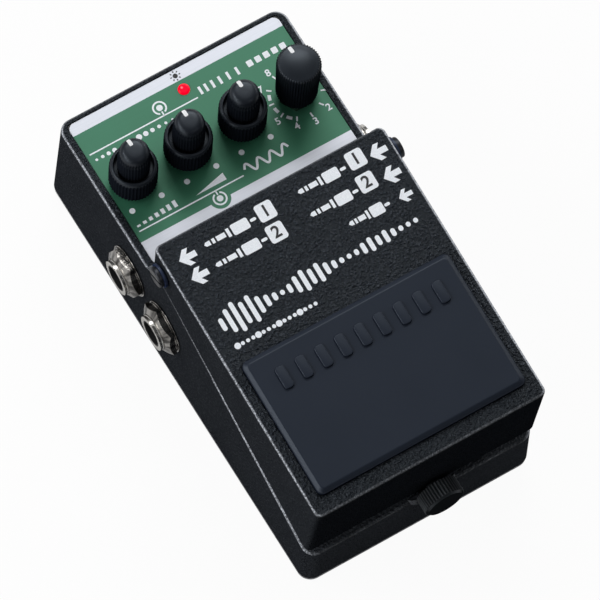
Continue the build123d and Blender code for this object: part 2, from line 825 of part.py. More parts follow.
def hinge_screws():
    screws = []
    for side in (-1, 1):
        head = post(hinge_head_radius, head_inner, head_inner + hinge_head_height)
        head = fillet(head.edges().sort_by(Axis.Z)[-1], hinge_head_round)
        screw = head + post(hinge_shoulder_radius, ear_outer, head_inner)
        screw += post(hinge_screw_radius, ear_outer - hinge_screw_length, ear_outer)
        slot = Box(screw_slot_width, 2 * hinge_head_radius, 2 * screw_slot_depth)
        screw -= Pos(0, 0, head_inner + hinge_head_height) * Rot(0, 0, hinge_slot_turn) * slot
        screws.append(Pos(0, hinge_y, hinge_height) * Rot(0, 90 * side, 0) * screw)
    return screws


def guide_bush():
    width = 2 * (thumb_shank_radius + body_gap + saddle_wall - running_gap)
    outer = block(around(thumb_offset, width), (thumb_seat, inner_front + saddle_flange),
                  (saddle_floor + running_gap, ledge_height))
    channel = block(around(thumb_offset, 2 * (thumb_shank_radius + body_gap)),
                    (case_front - overrun, inner_front + overrun),
                    (saddle_floor + saddle_wall, ledge_height + overrun))
    return outer - channel


def thumbscrew():
    rim = thumb_head_length - thumb_head_round
    root = thumb_head_radius - thumb_knurl_depth
    knurled = extrude(star(thumb_head_radius, thumb_knurl_depth, thumb_teeth), rim)
    crown = cone(root, root - thumb_head_round, rim, thumb_head_length)
    screw = knurled + crown + post(thumb_shank_radius, thumb_back - lug_rear, 0)
    return Pos(thumb_offset, thumb_back, thumb_height) * Rot(90, 0, 0) * screw


def thumbscrew_washer():
    ring = rod_y(washer_radius, thumb_back, thumb_back + washer_thickness, thumb_offset, thumb_height)
    return ring - rod_y(thumb_shank_radius + running_gap, thumb_back - overrun, thumb_back + overrun,
                        thumb_offset, thumb_height)


def lead_x():
    return battery_offset + battery_length / 2 + terminal_height + snap_thickness - lead_bend


def battery():
    right = battery_offset + battery_length / 2
    wide = around(battery_offset, battery_length)
    solid = block(wide, (battery_front, battery_rear), (shelf_height, battery_top))
    solid = fillet(solid.edges().filter_by(Axis.X), battery_edge)
    y = (battery_front + battery_rear) / 2
    z = (shelf_height + battery_top) / 2
    for shift in (-terminal_pitch / 2, terminal_pitch / 2):
        solid += rod_x(terminal_radius, right, right + terminal_height, y, z + shift)
    return solid


def battery_snap():
    left = battery_offset + battery_length / 2 + terminal_height
    y = (battery_front + battery_rear) / 2
    z = (shelf_height + battery_top) / 2
    return block((left, left + snap_thickness), around(y, snap_depth), around(z, snap_width))


def battery_leads():
    # Two wires run back from the snap, along the compartment and down through the shelf
    y0 = (battery_front + battery_rear + snap_depth) / 2
    y1 = battery_rear + lead_drop_gap
    z = (shelf_height + battery_top) / 2
    leads = []
    for shift in (-lead_pitch / 4, lead_pitch / 4):
        x = lead_x() + shift
        points = [(x, y0, z), (x, y1 + shift, z), (x, y1 + shift, main_board_top)]
        route = FilletPolyline(*points, radius=lead_bend)
        section = Plane(origin=points[0], z_dir=(0, 1, 0)) * Circle(lead_radius)
        leads.append(sweep(section, path=route))
    return leads


def spring_base():
    seat = post(spring_seat_radius, shelf_height, spring_foot, 0, spring_y)
    return seat + post(spring_nose_radius, shelf_height, spring_foot + spring_nose_length, 0, spring_y)


def spring_path():
    pitch = (spring_length - 2 * (spring_wire_radius + body_gap)) / spring_turns
    return Helix(pitch, pitch * spring_turns, spring_radius)


def treadle_spring():
    path = spring_path()
    section = Plane(origin=path @ 0, z_dir=path % 0) * Circle(spring_wire_radius)
    coil = sweep(section, path=path, is_frenet=True)
    return Pos(0, spring_y, spring_foot + spring_wire_radius + body_gap) * coil


def spring_gap_to_itself():
    # Least clear gap between points of the wire that lie at least half a turn apart
    path = spring_path()
    per_turn = 24
    count = per_turn * spring_turns
    points = [path @ (i / count) for i in range(count + 1)]
    pairs = [(i, j) for i in range(count + 1) for j in range(i + per_turn // 2, count + 1)]
    least = min((points[i] - points[j]).length for i, j in pairs)
    return least - 2 * spring_wire_radius


def foot_switch():
    body = block(around(switch_offset, switch_width), around(spring_y, switch_width),
                 (shelf_height, shelf_height + switch_height))
    return body - post(plunger_radius + running_gap, shelf_height + switch_height - plunger_depth - overrun,
                       plunger_top, switch_offset, spring_y)


def switch_plunger():
    return post(plunger_radius, shelf_height + switch_height - plunger_depth, plunger_top - running_gap,
                switch_offset, spring_y)


def save(name, solids):
    group = solids if isinstance(solids, list) else [solids]
    shape = Compound(children=group) if len(group) > 1 else group[0]
    export_step(shape, os.path.join("parts", name + ".step"))


def main():
    os.makedirs("parts", exist_ok=True)
    pieces = {
        "base_case": base_case(), "bottom_plate": bottom_plate(), "base_rubber_sheet": base_rubber_sheet(),
        "bottom_plate_screws": bottom_plate_screws(), "control_panel_plate": control_panel_plate(),
        "treadle": treadle(), "treadle_pad": treadle_pad(), "treadle_bumper": treadle_bumper(),
        "hinge_bush_left": hinge_bush(-1), "hinge_bush_right": hinge_bush(1), "hinge_screws": hinge_screws(),
        "guide_bush": guide_bush(), "thumbscrew": thumbscrew(), "thumbscrew_washer": thumbscrew_washer(),
        "battery": battery(), "battery_snap": battery_snap(), "battery_leads": battery_leads(),
        "spring_base": spring_base(), "treadle_spring": treadle_spring(),
        "foot_switch": foot_switch(), "switch_plunger": switch_plunger(),
        "main_board": main_board(), "board_chips": board_chips(), "board_screws": board_screws(),
        "control_board": control_board(), "board_header": board_header(),
        "check_led": check_led(), "led_spacer": led_spacer(),
        "jack_nuts": jack_nuts(), "jack_washers": jack_washers(), "dc_jack": dc_jack(),
        "pot_nuts": [Pos(x, knob_row, 0) * pot_nut() for x in knob_places],
    }
    names = ["output_jack_1", "output_jack_2", "input_jack_1", "input_jack_2", "control_jack"]
    for name, (side, y) in zip(names, jack_spots):
        pieces[name] = jack(side, y)
    for number, x in enumerate(knob_places[:3], start=1):
        place = Pos(x, knob_row, 0)
        pieces["dual_pot_%d" % number] = place * dual_pot()
        pieces["outer_shaft_%d" % number] = place * outer_shaft()
        pieces["inner_shaft_%d" % number] = place * inner_shaft()
        pieces["outer_knob_%d" % number] = place * outer_knob()
        pieces["inner_knob_%d" % number] = place * inner_knob()
    place = Pos(knob_places[3], knob_row, 0)
    pieces["mode_switch"] = place * mode_switch()
    pieces["mode_shaft"] = place * mode_shaft()
    pieces["mode_knob"] = place * mode_knob()
    for name, solids in pieces.items():
        save(name, solids)
    print("spring: least gap between turns %.2f mm" % spring_gap_to_itself())


main()
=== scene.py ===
import json
import math

import bpy
from mathutils import Matrix, Vector


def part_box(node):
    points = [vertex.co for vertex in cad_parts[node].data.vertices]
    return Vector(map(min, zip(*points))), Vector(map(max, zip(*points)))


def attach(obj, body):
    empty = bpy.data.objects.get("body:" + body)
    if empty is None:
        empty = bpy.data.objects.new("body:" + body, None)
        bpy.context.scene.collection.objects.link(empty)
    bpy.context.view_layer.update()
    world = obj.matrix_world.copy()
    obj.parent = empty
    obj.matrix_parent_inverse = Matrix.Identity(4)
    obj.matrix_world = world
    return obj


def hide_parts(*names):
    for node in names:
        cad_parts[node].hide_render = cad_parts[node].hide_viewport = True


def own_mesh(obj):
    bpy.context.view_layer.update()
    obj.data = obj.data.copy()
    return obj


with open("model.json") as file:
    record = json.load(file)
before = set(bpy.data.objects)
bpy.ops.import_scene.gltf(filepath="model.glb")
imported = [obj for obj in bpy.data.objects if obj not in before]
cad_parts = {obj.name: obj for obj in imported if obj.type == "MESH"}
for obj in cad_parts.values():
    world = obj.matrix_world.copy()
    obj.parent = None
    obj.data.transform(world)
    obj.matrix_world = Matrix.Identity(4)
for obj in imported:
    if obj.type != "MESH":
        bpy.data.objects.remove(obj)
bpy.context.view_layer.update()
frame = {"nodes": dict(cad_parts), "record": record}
nodes = frame["nodes"]
mm = 0.001
print("frame: %d nodes" % len(nodes))


# places read from the frame, in mm

def boxOf(node):
    low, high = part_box(node)
    return low / mm, high / mm


def middleOf(node):
    low, high = boxOf(node)
    return (low + high) / 2


panelLow, panelHigh = boxOf("control_panel_plate")
knobSpots = [middleOf("outer_knob_%d" % k) for k in (1, 2, 3)] + [middleOf("mode_knob")]
socketAxis = middleOf("jack_washers").z
treadleFace = {"frontY": -60.9, "frontZ": 50.4, "rearY": 16.6, "rearZ": 58.1}  # its slope, edge to edge


def faceHeight(y):
    t = treadleFace
    return t["frontZ"] + (t["rearZ"] - t["frontZ"]) * (y - t["frontY"]) / (t["rearY"] - t["frontY"])


facePitch = math.atan2(faceHeight(1) - faceHeight(0), 1)


class Wire:  # a socket that takes part in sums
    def __init__(self, finish, socket):
        self.finish, self.socket = finish, socket

    def __add__(self, other):
        return self.finish.sum("ADD", self, other)

    def __radd__(self, other):
        return self.finish.sum("ADD", other, self)

    def __sub__(self, other):
        return self.finish.sum("SUBTRACT", self, other)

    def __rsub__(self, other):
        return self.finish.sum("SUBTRACT", other, self)

    def __mul__(self, other):
        return self.finish.sum("MULTIPLY", self, other)

    def __rmul__(self, other):
        return self.finish.sum("MULTIPLY", other, self)

    def __truediv__(self, other):
        return self.finish.sum("DIVIDE", self, other)

    def __rtruediv__(self, other):
        return self.finish.sum("DIVIDE", other, self)

    def __pow__(self, other):
        return self.finish.sum("POWER", self, other)

    def __rpow__(self, other):
        return self.finish.sum("POWER", other, self)

    def __lt__(self, other):
        return self.finish.sum("LESS_THAN", self, other)

    def __gt__(self, other):
        return self.finish.sum("GREATER_THAN", self, other)

    def __neg__(self):
        return self.finish.sum("MULTIPLY", self, -1)

    def __abs__(self):
        return self.finish.sum("ABSOLUTE", self)


class Finish:  # one material and its nodes
    def __init__(self, name):
        self.material = bpy.data.materials.new(name)
        self.material.use_nodes = True
        self.tree = self.material.node_tree
        self.tree.nodes.clear()
        self.out = self.tree.nodes.new("ShaderNodeOutputMaterial")

    def node(self, kind, settings, sockets, output=0):
        made = self.tree.nodes.new(kind)
        for key, value in settings.items():
            setattr(made, key, value)
        for key, value in sockets.items():
            if isinstance(value, Wire):
                self.tree.links.new(value.socket, made.inputs[key])
            else:
                made.inputs[key].default_value = value
        return Wire(self, made.outputs[output])

    def sum(self, operation, *values):
        return self.node("ShaderNodeMath", {"operation": operation}, dict(enumerate(values)))

    def clamp(self, value):
        return self.node("ShaderNodeClamp", {}, {0: value})

    def ramp(self, value, low, high):  # 0 below low, 1 above high
        return self.node("ShaderNodeMapRange", {"clamp": True}, {0: value, 1: low, 2: high})

    def place(self):  # the piece's own coordinates, in mm
        spot = self.node("ShaderNodeTexCoord", {}, {}, "Object")
        return self.node("ShaderNodeVectorMath", {"operation": "SCALE"}, {0: spot, "Scale": 1 / mm})

    def stretch(self, spot, by):
        return self.node("ShaderNodeVectorMath", {"operation": "MULTIPLY"}, {0: spot, 1: by})

    def axes(self, spot):
        return [self.node("ShaderNodeSeparateXYZ", {}, {0: spot}, i) for i in range(3)]

    def spotFrom(self, x, y, z):
        return self.node("ShaderNodeCombineXYZ", {}, {"X": x, "Y": y, "Z": z})

    def facing(self):  # the way the surface faces, along each axis
        return self.axes(self.node("ShaderNodeTexCoord", {}, {}, "Normal"))

    def noise(self, spot, scale, detail=2.0, rough=0.5):
        return self.node("ShaderNodeTexNoise", {}, {"Vector": spot, "Scale": scale, "Detail": detail,
                                                    "Roughness": rough}, "Fac")

    def warp(self, spot, scale, reach):  # the same spots pushed about a little
        push = self.node("ShaderNodeTexNoise", {}, {"Vector": spot, "Scale": scale, "Detail": 2.0}, "Color")
        return self.node("ShaderNodeVectorMath", {"operation": "MULTIPLY_ADD"},
                         {0: push, 1: (reach,) * 3, 2: spot})

    def cells(self, spot, scale):
        return self.node("ShaderNodeTexVoronoi", {"feature": "SMOOTH_F1"},
                         {"Vector": spot, "Scale": scale, "Smoothness": 0.3}, "Distance")

    def mix(self, share, first, second):
        ends = [(*c, 1) if isinstance(c, tuple) else c for c in (first, second)]
        return self.node("ShaderNodeMix", {"data_type": "RGBA"}, {0: share, 6: ends[0], 7: ends[1]}, 2)

    def bump(self, height, strength, depth):
        return self.node("ShaderNodeBump", {},
                         {"Height": height, "Strength": strength, "Distance": depth * mm})

    def bumpSoft(self, height, depth, radius=0.14):  # with the shading rounded over sharp edges
        edge = self.node("ShaderNodeBevel", {"samples": 6}, {"Radius": radius * mm})
        return self.node("ShaderNodeBump", {},
                         {"Height": height, "Strength": 1.0, "Distance": depth * mm, "Normal": edge})

    def close(self, shader):
        self.tree.links.new(shader.socket, self.out.inputs["Surface"])
        return self.material

    def shade(self, sockets):
        return self.close(self.node("ShaderNodeBsdfPrincipled", {}, sockets))

    def shadeSoft(self, sockets, gloss):  # gloss dies away on walls seen at a slant
        turned = self.node("ShaderNodeLayerWeight", {}, {"Blend": 0.5}, "Facing")
        share = self.clamp(self.ramp(self.facing()[2], 0.2, 0.75) + 1 - self.ramp(turned, 0.25, 0.6))
        dull, glossy = (self.node("ShaderNodeBsdfPrincipled", {}, {**sockets, "Specular IOR Level": level})
                        for level in (0, gloss))
        return self.close(self.node("ShaderNodeMixShader", {}, {0: share, 1: dull, 2: glossy}))


# finishes

coolGloss = (0.78, 0.89, 1.0, 1)


def makeCasePaint():
    look = {"deep": (0.0015, 0.0021, 0.0033), "peak": (0.046, 0.0545, 0.07),
            "wallDeep": (0.0152, 0.0173, 0.0208), "wallPeak": (0.049, 0.0535, 0.061),
            "glint": (0.8, 0.84, 0.92), "pebbles": 1.3, "push": 0.9, "grain": 2.4, "specks": 3.0,
            "patches": 0.09, "ledge": 18.3, "lowEdge": 35.0, "dimFrom": -60.0, "dimTo": -44.0,
            "rough": 0.33, "gloss": 0.3, "relief": 0.38}
    f = Finish("casePaint")
    spot = f.place()
    y, z = f.axes(spot)[1:]
    nx, ny, nz = f.facing()
    pebble = f.cells(f.warp(spot, look["pebbles"], look["push"]), look["pebbles"])
    pebble = 1 - f.ramp(pebble, 0.1, 0.62)
    grain = f.noise(spot, look["grain"], 3.0, 0.6)
    patch = f.noise(spot, look["patches"])
    stand = pebble * f.ramp(grain, 0.42, 0.58)
    # painted highlight: rounded edges are lit bright in specks, low and right ones over more of their round
    low = z < look["lowEdge"]
    right = f.ramp(nx, 0.1, 0.4)
    wide = f.clamp(low + right)
    speck = f.ramp(f.noise(spot, look["specks"]), 0.42, 0.6)
    edgeHighlight = f.ramp(nz, 0.42 - 0.2 * low, 0.62 - 0.15 * low)
    edgeHighlight = edgeHighlight * (1 - f.ramp(nz, 0.8 + 0.08 * wide, 0.94 + 0.045 * wide))
    edgeHighlight = edgeHighlight * (0.22 - 0.18 * low + (0.78 + 0.18 * low) * abs(nx))
    edgeHighlight = edgeHighlight * f.clamp(0.22 + 0.4 * right + 0.9 * speck)
    dim = 0.4 + 0.6 * f.ramp(y, look["dimFrom"], look["dimTo"])
    top = f.mix(f.clamp(0.78 * stand * dim + 0.14 * patch), look["deep"], look["peak"])
    # painted light: walls take lighter tones of their own than the top
    # painted shade: the front wall is darkest above the ledge of the case, and painted light makes it
    # lighter below
    front = f.ramp(-ny, 0.5, 0.9)
    wall = f.mix(f.clamp(0.8 * stand + 0.2 * patch), look["wallDeep"], look["wallPeak"])
    wall = f.mix(0.7 * front * (z > look["ledge"]), wall, look["deep"])
    wall = f.mix(0.3 * front * (z < look["ledge"]), wall, look["wallPeak"])
    colour = f.mix(1 - f.ramp(nz, 0.2, 0.8), top, wall)
    return f.shadeSoft({"Base Color": f.mix(edgeHighlight, colour, look["glint"]),
                        "Roughness": look["rough"] - 0.08 * stand + 0.08 * patch, "Specular Tint": coolGloss,
                        "Normal": f.bump(pebble + 0.6 * grain, 1.0, look["relief"])}, look["gloss"])


def makePanelMetal():
    look = {"silver": (0.73, 0.755, 0.82), "silverDark": (0.54, 0.565, 0.625),
            "green": (0.044, 0.194, 0.114), "greenDark": (0.025, 0.14, 0.075),
            "stripShade": (0.3, 0.31, 0.34), "stripShadeShare": 0.45,
            "rimPaint": (0.006, 0.007, 0.009), "front": 25.5, "rear": 57.9, "iconX": -7.2, "iconY": 25.9,
            "iconR": 2.75, "corner": 1.9, "lines": (0.12, 7.0, 1.0)}
    f = Finish("panelMetal")
    spot = f.place()
    x, y, z = f.axes(spot)
    # rear corners are rounded off by the paint of the rim
    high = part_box("control_panel_plate")[1]
    overX = f.sum("MAXIMUM", abs(x) - (high.x / mm - look["corner"]), 0)
    overY = f.sum("MAXIMUM", y - (high.y / mm - look["corner"]), 0)
    rim = (overX * overX + overY * overY) > look["corner"] ** 2
    # green between two bare strips, with a round bay for the lower icon
    inBand = (y > look["front"]) * (y < look["rear"])
    iconX, iconY = x - look["iconX"], y - look["iconY"]
    bay = (iconX * iconX + iconY * iconY) < look["iconR"] ** 2
    ink = f.clamp(inBand + bay) * (z > panelHigh.z - 0.1)
    brushed = f.noise(f.stretch(spot, look["lines"]), 1.0, 4.0, 0.65)
    cloud = f.noise(spot, 0.11)
    # painted shade: the front band darkens towards the treadle, which shades it
    metal = f.mix(brushed, look["silverDark"], look["silver"])
    treadleShade = f.mix(look["stripShadeShare"], metal, look["stripShade"])
    metal = f.mix(f.ramp(y, panelLow.y, look["front"] - 0.9), treadleShade, metal)
    green = f.mix(f.clamp(0.55 * brushed + 0.45 * cloud), look["greenDark"], look["green"])
    return f.shade({"Base Color": f.mix(rim, f.mix(ink, metal, green), look["rimPaint"]),
                    "Metallic": (0.4 - 0.12 * ink) * (1 - rim),
                    "Roughness": 0.36 + 0.12 * brushed + 0.06 * cloud,
                    "Normal": f.bump(brushed, 0.12, 0.02)})


def makePadRubber():
    look = {"deep": (0.0085, 0.0118, 0.0205), "peak": (0.0138, 0.0182, 0.0305), "bevelHighlight": (0.07, 0.08, 0.1),
            "bevelHighlightShare": 0.4, "rough": 0.38, "gloss": 0.32}
    f = Finish("padRubber")
    spot = f.place()
    nx, nz = f.facing()[::2]
    bevelHighlight = f.ramp(-nx, 0.3, 0.5) * f.ramp(nz, 0.5, 0.75)  # painted highlight on the left bevel
    grain = f.noise(spot, 6.0, 3.0, 0.6)
    cloud = f.noise(spot, 0.07, 3.0)
    colour = f.mix(f.clamp(0.5 * grain + 0.5 * cloud), look["deep"], look["peak"])
    return f.shadeSoft({"Base Color": f.mix(look["bevelHighlightShare"] * bevelHighlight, colour, look["bevelHighlight"]),
                        "Roughness": look["rough"] + 0.12 * grain + 0.08 * cloud, "Specular Tint": coolGloss,
                        "Normal": f.bump(grain, 0.15, 0.03)}, look["gloss"])


def makeMoulded(name, deep, peak, rough, gloss, grains=4.0, depth=0.02):
    f = Finish(name)
    spot = f.place()
    grain = f.noise(spot, grains, 3.0, 0.6)
    cloud = f.noise(spot, 0.25)
    return f.shadeSoft({"Base Color": f.mix(f.clamp(0.6 * cloud + 0.4 * grain), deep, peak),
                        "Roughness": rough - 0.06 + 0.12 * cloud + 0.05 * grain, "Specular Tint": coolGloss,
                        "Normal": f.bump(grain, 0.15, depth)}, gloss)


def makeThumbBlack():
    look = {"deep": (0.006, 0.007, 0.008), "peak": (0.013, 0.0145, 0.0165), "tip": (0.11, 0.117, 0.125),
            "knurl": 0.26, "rough": 0.34, "gloss": 0.4}
    low, high = boxOf("thumbscrew")
    f = Finish("thumbBlack")
    spot = f.place()
    x, z = f.axes(spot)[::2]
    acrossX, acrossZ = x - (low.x + high.x) / 2, z - (low.z + high.z) / 2
    reach = (acrossX * acrossX + acrossZ * acrossZ) ** 0.5
    rim = (high.z - low.z) / 2
    grain = f.noise(spot, 4.0, 3.0, 0.6)
    # painted highlight on the crests of the ribs
    ribHighlight = f.ramp(reach, rim - look["knurl"], rim) * (0.5 + 0.5 * grain)
    colour = f.mix(ribHighlight, f.mix(grain, look["deep"], look["peak"]), look["tip"])
    return f.shadeSoft({"Base Color": colour, "Roughness": look["rough"] + 0.12 * grain,
                        "Specular Tint": coolGloss, "Normal": f.bump(grain, 0.15, 0.02)}, look["gloss"])


def makePlated(name, deep, peak, rough, lines=(1.0, 1.0, 9.0), metal=1.0, black=None):
    f = Finish(name)
    spot = f.place()
    drawn = f.noise(f.stretch(spot, lines), 1.3, 3.0, 0.6)
    stain = f.ramp(f.noise(spot, 0.5, 3.0), 0.45, 0.75)
    colour = f.mix(f.clamp(0.7 * stain + 0.3 * drawn), peak, deep)
    if black:  # parts above this height are blackened
        colour = f.mix(f.axes(spot)[2] > black["above"], colour, f.mix(stain, black["peak"], black["deep"]))
    return f.shade({"Base Color": colour, "Metallic": metal,
                    "Roughness": rough + 0.14 * stain + 0.08 * drawn, "Normal": f.bumpSoft(drawn, 0.0015)})


def makePrint(name, solid, thin):
    f = Finish(name)
    weave = f.noise(f.place(), 3.4)
    return f.shade({"Base Color": f.mix(f.ramp(weave, 0.35, 0.7), thin, solid),
                    "Roughness": 0.5 + 0.15 * weave, "Normal": f.bump(weave, 0.1, 0.02)})


def aroundSocket(f, spot):  # spots measured from the nearest socket's axis
    first = middleOf("control_jack").y
    pitch = middleOf("input_jack_2").y - first
    y, z = f.axes(spot)[1:]
    along = f.sum("FLOORED_MODULO", y - first + pitch / 2, pitch) - pitch / 2
    return along, z - socketAxis


def makeNutMetal():  # turned faces, with painted reflections dark and bright by turns round the axis
    look = {"deep": (0.016, 0.015, 0.0145), "peak": (0.36, 0.346, 0.327), "reflectionSectors": 3.1, "rings": 4.0,
            "waves": (0.5, 1.6, 1.6), "relief": 0.06, "metal": 0.92, "rough": 0.1}
    f = Finish("nickelPlate")
    spot = f.place()
    x, y = f.axes(spot)[:2]
    along, up = aroundSocket(f, spot)
    reach = (along * along + up * up) ** 0.5
    reflectionSectors = f.noise(f.spotFrom(along / reach, up / reach, 0.11 * y), look["reflectionSectors"])
    rings = f.noise(f.spotFrom(reach, abs(x), 0.3 * y), look["rings"])
    waves = f.noise(f.stretch(spot, look["waves"]), 1.3, 3.0, 0.6)
    share = f.clamp(0.85 * f.ramp(reflectionSectors, 0.43, 0.6) + 0.25 * rings)
    return f.shade({"Base Color": f.mix(share, look["deep"], look["peak"]), "Metallic": look["metal"],
                    "Roughness": look["rough"] + 0.12 * rings, "Normal": f.bumpSoft(waves, look["relief"])})


def makeSocketBody():  # black moulding with a plated bush outside the wall, dark down its bore
    look = {"wallX": 29.6, "boreR": 3.55, "plastic": (0.009, 0.009, 0.01), "metal": (0.7, 0.68, 0.64),
            "stain": (0.45, 0.43, 0.4)}
    f = Finish("socketBody")
    spot = f.place()
    along, up = aroundSocket(f, spot)
    bush = (abs(f.axes(spot)[0]) > look["wallX"]) * ((along * along + up * up) > look["boreR"] ** 2)
    lines = f.noise(f.stretch(spot, (6.0, 1.0, 1.0)), 1.2, 3.0)
    metal = f.mix(f.ramp(lines, 0.4, 0.75), look["metal"], look["stain"])
    return f.shade({"Base Color": f.mix(bush, look["plastic"], metal), "Metallic": bush,
                    "Roughness": 0.5 - 0.3 * bush + 0.12 * lines, "Normal": f.bump(lines, 0.1, 0.02)})


def makeLed():
    look = {"core": (1.0, 0.0, 0.024), "rim": (0.42, 0.0, 0.008), "highlightSpot": (1.0, 0.3, 0.34), "highlightSpotX": -0.35,
            "highlightSpotY": 0.45, "lens": (0.35, 0.0, 0.006, 1)}
    low, high = boxOf("check_led")
    f = Finish("ledRed")
    spot = f.place()
    x, y = f.axes(spot)[:2]
    cloud = f.noise(spot, 1.6)
    acrossX, acrossY = x - (low.x + high.x) / 2, y - (low.y + high.y) / 2
    reach = (acrossX * acrossX + acrossY * acrossY) ** 0.5 / ((high.x - low.x) / 2)
    # painted shade: the glow is darker towards the rim of the dome
    glow = f.mix(f.ramp(reach + 0.1 * cloud, 0.62, 1.05), look["core"], look["rim"])
    # painted highlight: a pale spot towards the left rear of the lens
    highlightSpotX, highlightSpotY = acrossX - look["highlightSpotX"], acrossY - look["highlightSpotY"]
    glow = f.mix(0.8 * (1 - f.ramp(highlightSpotX * highlightSpotX + highlightSpotY * highlightSpotY, 0.01, 0.14)), glow, look["highlightSpot"])
    return f.shade({"Base Color": look["lens"], "Roughness": 0.14 + 0.06 * cloud, "Emission Color": glow,
                    "Emission Strength": 1.0, "Specular IOR Level": 0.15})


def makeLeads():  # black on the left, red on the right
    look = {"red": ((0.34, 0.012, 0.012), (0.42, 0.02, 0.018)),
            "black": ((0.01, 0.01, 0.01), (0.02, 0.02, 0.02))}
    f = Finish("leadVinyl")
    spot = f.place()
    grain = f.noise(spot, 3.0)
    share = f.axes(spot)[0] > middleOf("battery_leads").x
    return f.shade({"Base Color": f.mix(share, f.mix(grain, *look["black"]), f.mix(grain, *look["red"])),
                    "Roughness": 0.38 + 0.12 * grain})


def makeBattery():  # sleeve and band with a line between, and a crimped tin end on the right
    look = {"sleeve": (0.028, 0.03, 0.034), "band": (0.34, 0.21, 0.08), "bandX": 2.0,
            "line": (0.62, 0.6, 0.54), "lineWide": 0.45, "crimp": (0.01, 0.01, 0.01), "crimpX": 20.7,
            "crimpWide": 0.3, "tin": (0.6, 0.6, 0.6), "tinX": 21.2, "dust": (0.5, 0.5, 0.5)}
    f = Finish("batterySkin")
    spot = f.place()
    x = f.axes(spot)[0]
    grain = f.noise(spot, 2.0, 3.0)
    tin = x > look["tinX"]
    colour = f.mix(x > look["bandX"], look["sleeve"], look["band"])
    colour = f.mix(abs(x - look["bandX"]) < look["lineWide"], colour, look["line"])
    colour = f.mix(abs(x - look["crimpX"]) < look["crimpWide"], colour, look["crimp"])
    colour = f.mix(tin, colour, look["tin"])
    return f.shade({"Base Color": f.mix(0.12 * grain, colour, look["dust"]), "Metallic": 0.4 + 0.5 * tin,
                    "Roughness": 0.28 + 0.14 * grain, "Normal": f.bump(grain, 0.05, 0.02)})


def makeBoard():
    look = {"bare": (0.012, 0.075, 0.03), "track": (0.022, 0.13, 0.055), "weave": (0.03, 0.1, 0.05),
            "runs": (0.9, 0.22, 1.0)}
    f = Finish("boardGreen")
    spot = f.place()
    weave = f.noise(spot, 3.0)
    tracks = f.ramp(f.noise(f.stretch(spot, look["runs"]), 1.0, 1.0), 0.52, 0.54)
    colour = f.mix(tracks, look["bare"], look["track"])
    return f.shade({"Base Color": f.mix(0.25 * weave, colour, look["weave"]),
                    "Roughness": 0.3 + 0.15 * weave, "Normal": f.bump(tracks, 0.2, 0.03)})


moulded = {  # darkest and lightest tone, then roughness and gloss
    "sheet_rubber": {"name": "sheetRubber", "deep": (0.008, 0.008, 0.008), "peak": (0.014, 0.014, 0.014),
                     "rough": 0.66, "gloss": 0.25, "grains": 3.0, "depth": 0.05},
    "knob_plastic": {"name": "knobPlastic", "deep": (0.0055, 0.007, 0.01), "peak": (0.0105, 0.013, 0.0185),
                     "rough": 0.36, "gloss": 0.38},
    "bush_plastic": {"name": "bushPlastic", "deep": (0.016, 0.023, 0.052), "peak": (0.027, 0.038, 0.082),
                     "rough": 0.4, "gloss": 0.4},
    "guide_black": {"name": "guideBlack", "deep": (0.01, 0.01, 0.011), "peak": (0.016, 0.016, 0.017),
                    "rough": 0.5, "gloss": 0.3},
    "chip_black": {"name": "chipBlack", "deep": (0.01, 0.01, 0.01), "peak": (0.018, 0.018, 0.018),
                   "rough": 0.5, "gloss": 0.4},
    "snap_vinyl": {"name": "snapVinyl", "deep": (0.008, 0.008, 0.008), "peak": (0.015, 0.015, 0.015),
                   "rough": 0.45, "gloss": 0.4},
    "switch_body": {"name": "switchBody", "deep": (0.016, 0.016, 0.018), "peak": (0.028, 0.028, 0.03),
                    "rough": 0.45, "gloss": 0.4},
    "spring_seat_plastic": {"name": "springSeat", "deep": (0.05, 0.05, 0.05), "peak": (0.08, 0.08, 0.08),
                            "rough": 0.5, "gloss": 0.4},
}
plated = {
    "steel": {"name": "zincSteel", "deep": (0.14, 0.145, 0.155), "peak": (0.3, 0.305, 0.32), "rough": 0.34,
              "black": {"above": 36.0, "deep": (0.03, 0.032, 0.037), "peak": (0.05, 0.052, 0.058)}},
    "pot_metal": {"name": "potMetal", "deep": (0.42, 0.42, 0.42), "peak": (0.6, 0.6, 0.6), "rough": 0.32},
    "spring_steel": {"name": "springSteel", "deep": (0.34, 0.34, 0.35), "peak": (0.52, 0.52, 0.53),
                     "rough": 0.26, "lines": (1.0, 1.0, 1.0)},
}
paint = {
    "case_paint": makeCasePaint(),
    "panel_metal": makePanelMetal(),
    "pad_rubber": makePadRubber(),
    "thumb_black": makeThumbBlack(),
    "nickel": makeNutMetal(),
    "jack_plastic": makeSocketBody(),
    "led_red": makeLed(),
    "lead_vinyl": makeLeads(),
    "battery_skin": makeBattery(),
    "board_green": makeBoard(),
}
for slot, look in moulded.items():
    paint[slot] = makeMoulded(**look)
for slot, look in plated.items():
    paint[slot] = makePlated(**look)
brightPlate = makePlated("brightPlate", (0.5, 0.485, 0.46), (0.74, 0.725, 0.7), 0.12, metal=0.55)
whitePrint = makePrint("whitePrint", (0.93, 0.96, 1.0), (0.8, 0.835, 0.885))
blackPrint = makePrint("blackPrint", (0.012, 0.012, 0.014), (0.02, 0.02, 0.024))
markPaint = makePrint("markPaint", (0.86, 0.87, 0.88), (0.74, 0.75, 0.77))
for part in frame["record"]["subparts"]:
    solid = nodes[part["node"]]
    solid.data.materials.clear()
    solid.data.materials.append(paint[part["material_slot"]])
print("finishes: %d" % (len(paint) + 4))


# mesh helpers, all lengths in mm

def pieceFrom(name, points, faces, body, slot, material, smooth=True):
    mesh = bpy.data.meshes.new(name)
    mesh.from_pydata([Vector(p) * mm for p in points], [], faces)
    mesh.validate()
    mesh.update()
    for face in mesh.polygons:
        face.use_smooth = smooth
    made = bpy.data.objects.new(name, mesh)
    bpy.context.scene.collection.objects.link(made)
    mesh.materials.append(material)
    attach(made, body)
    return made


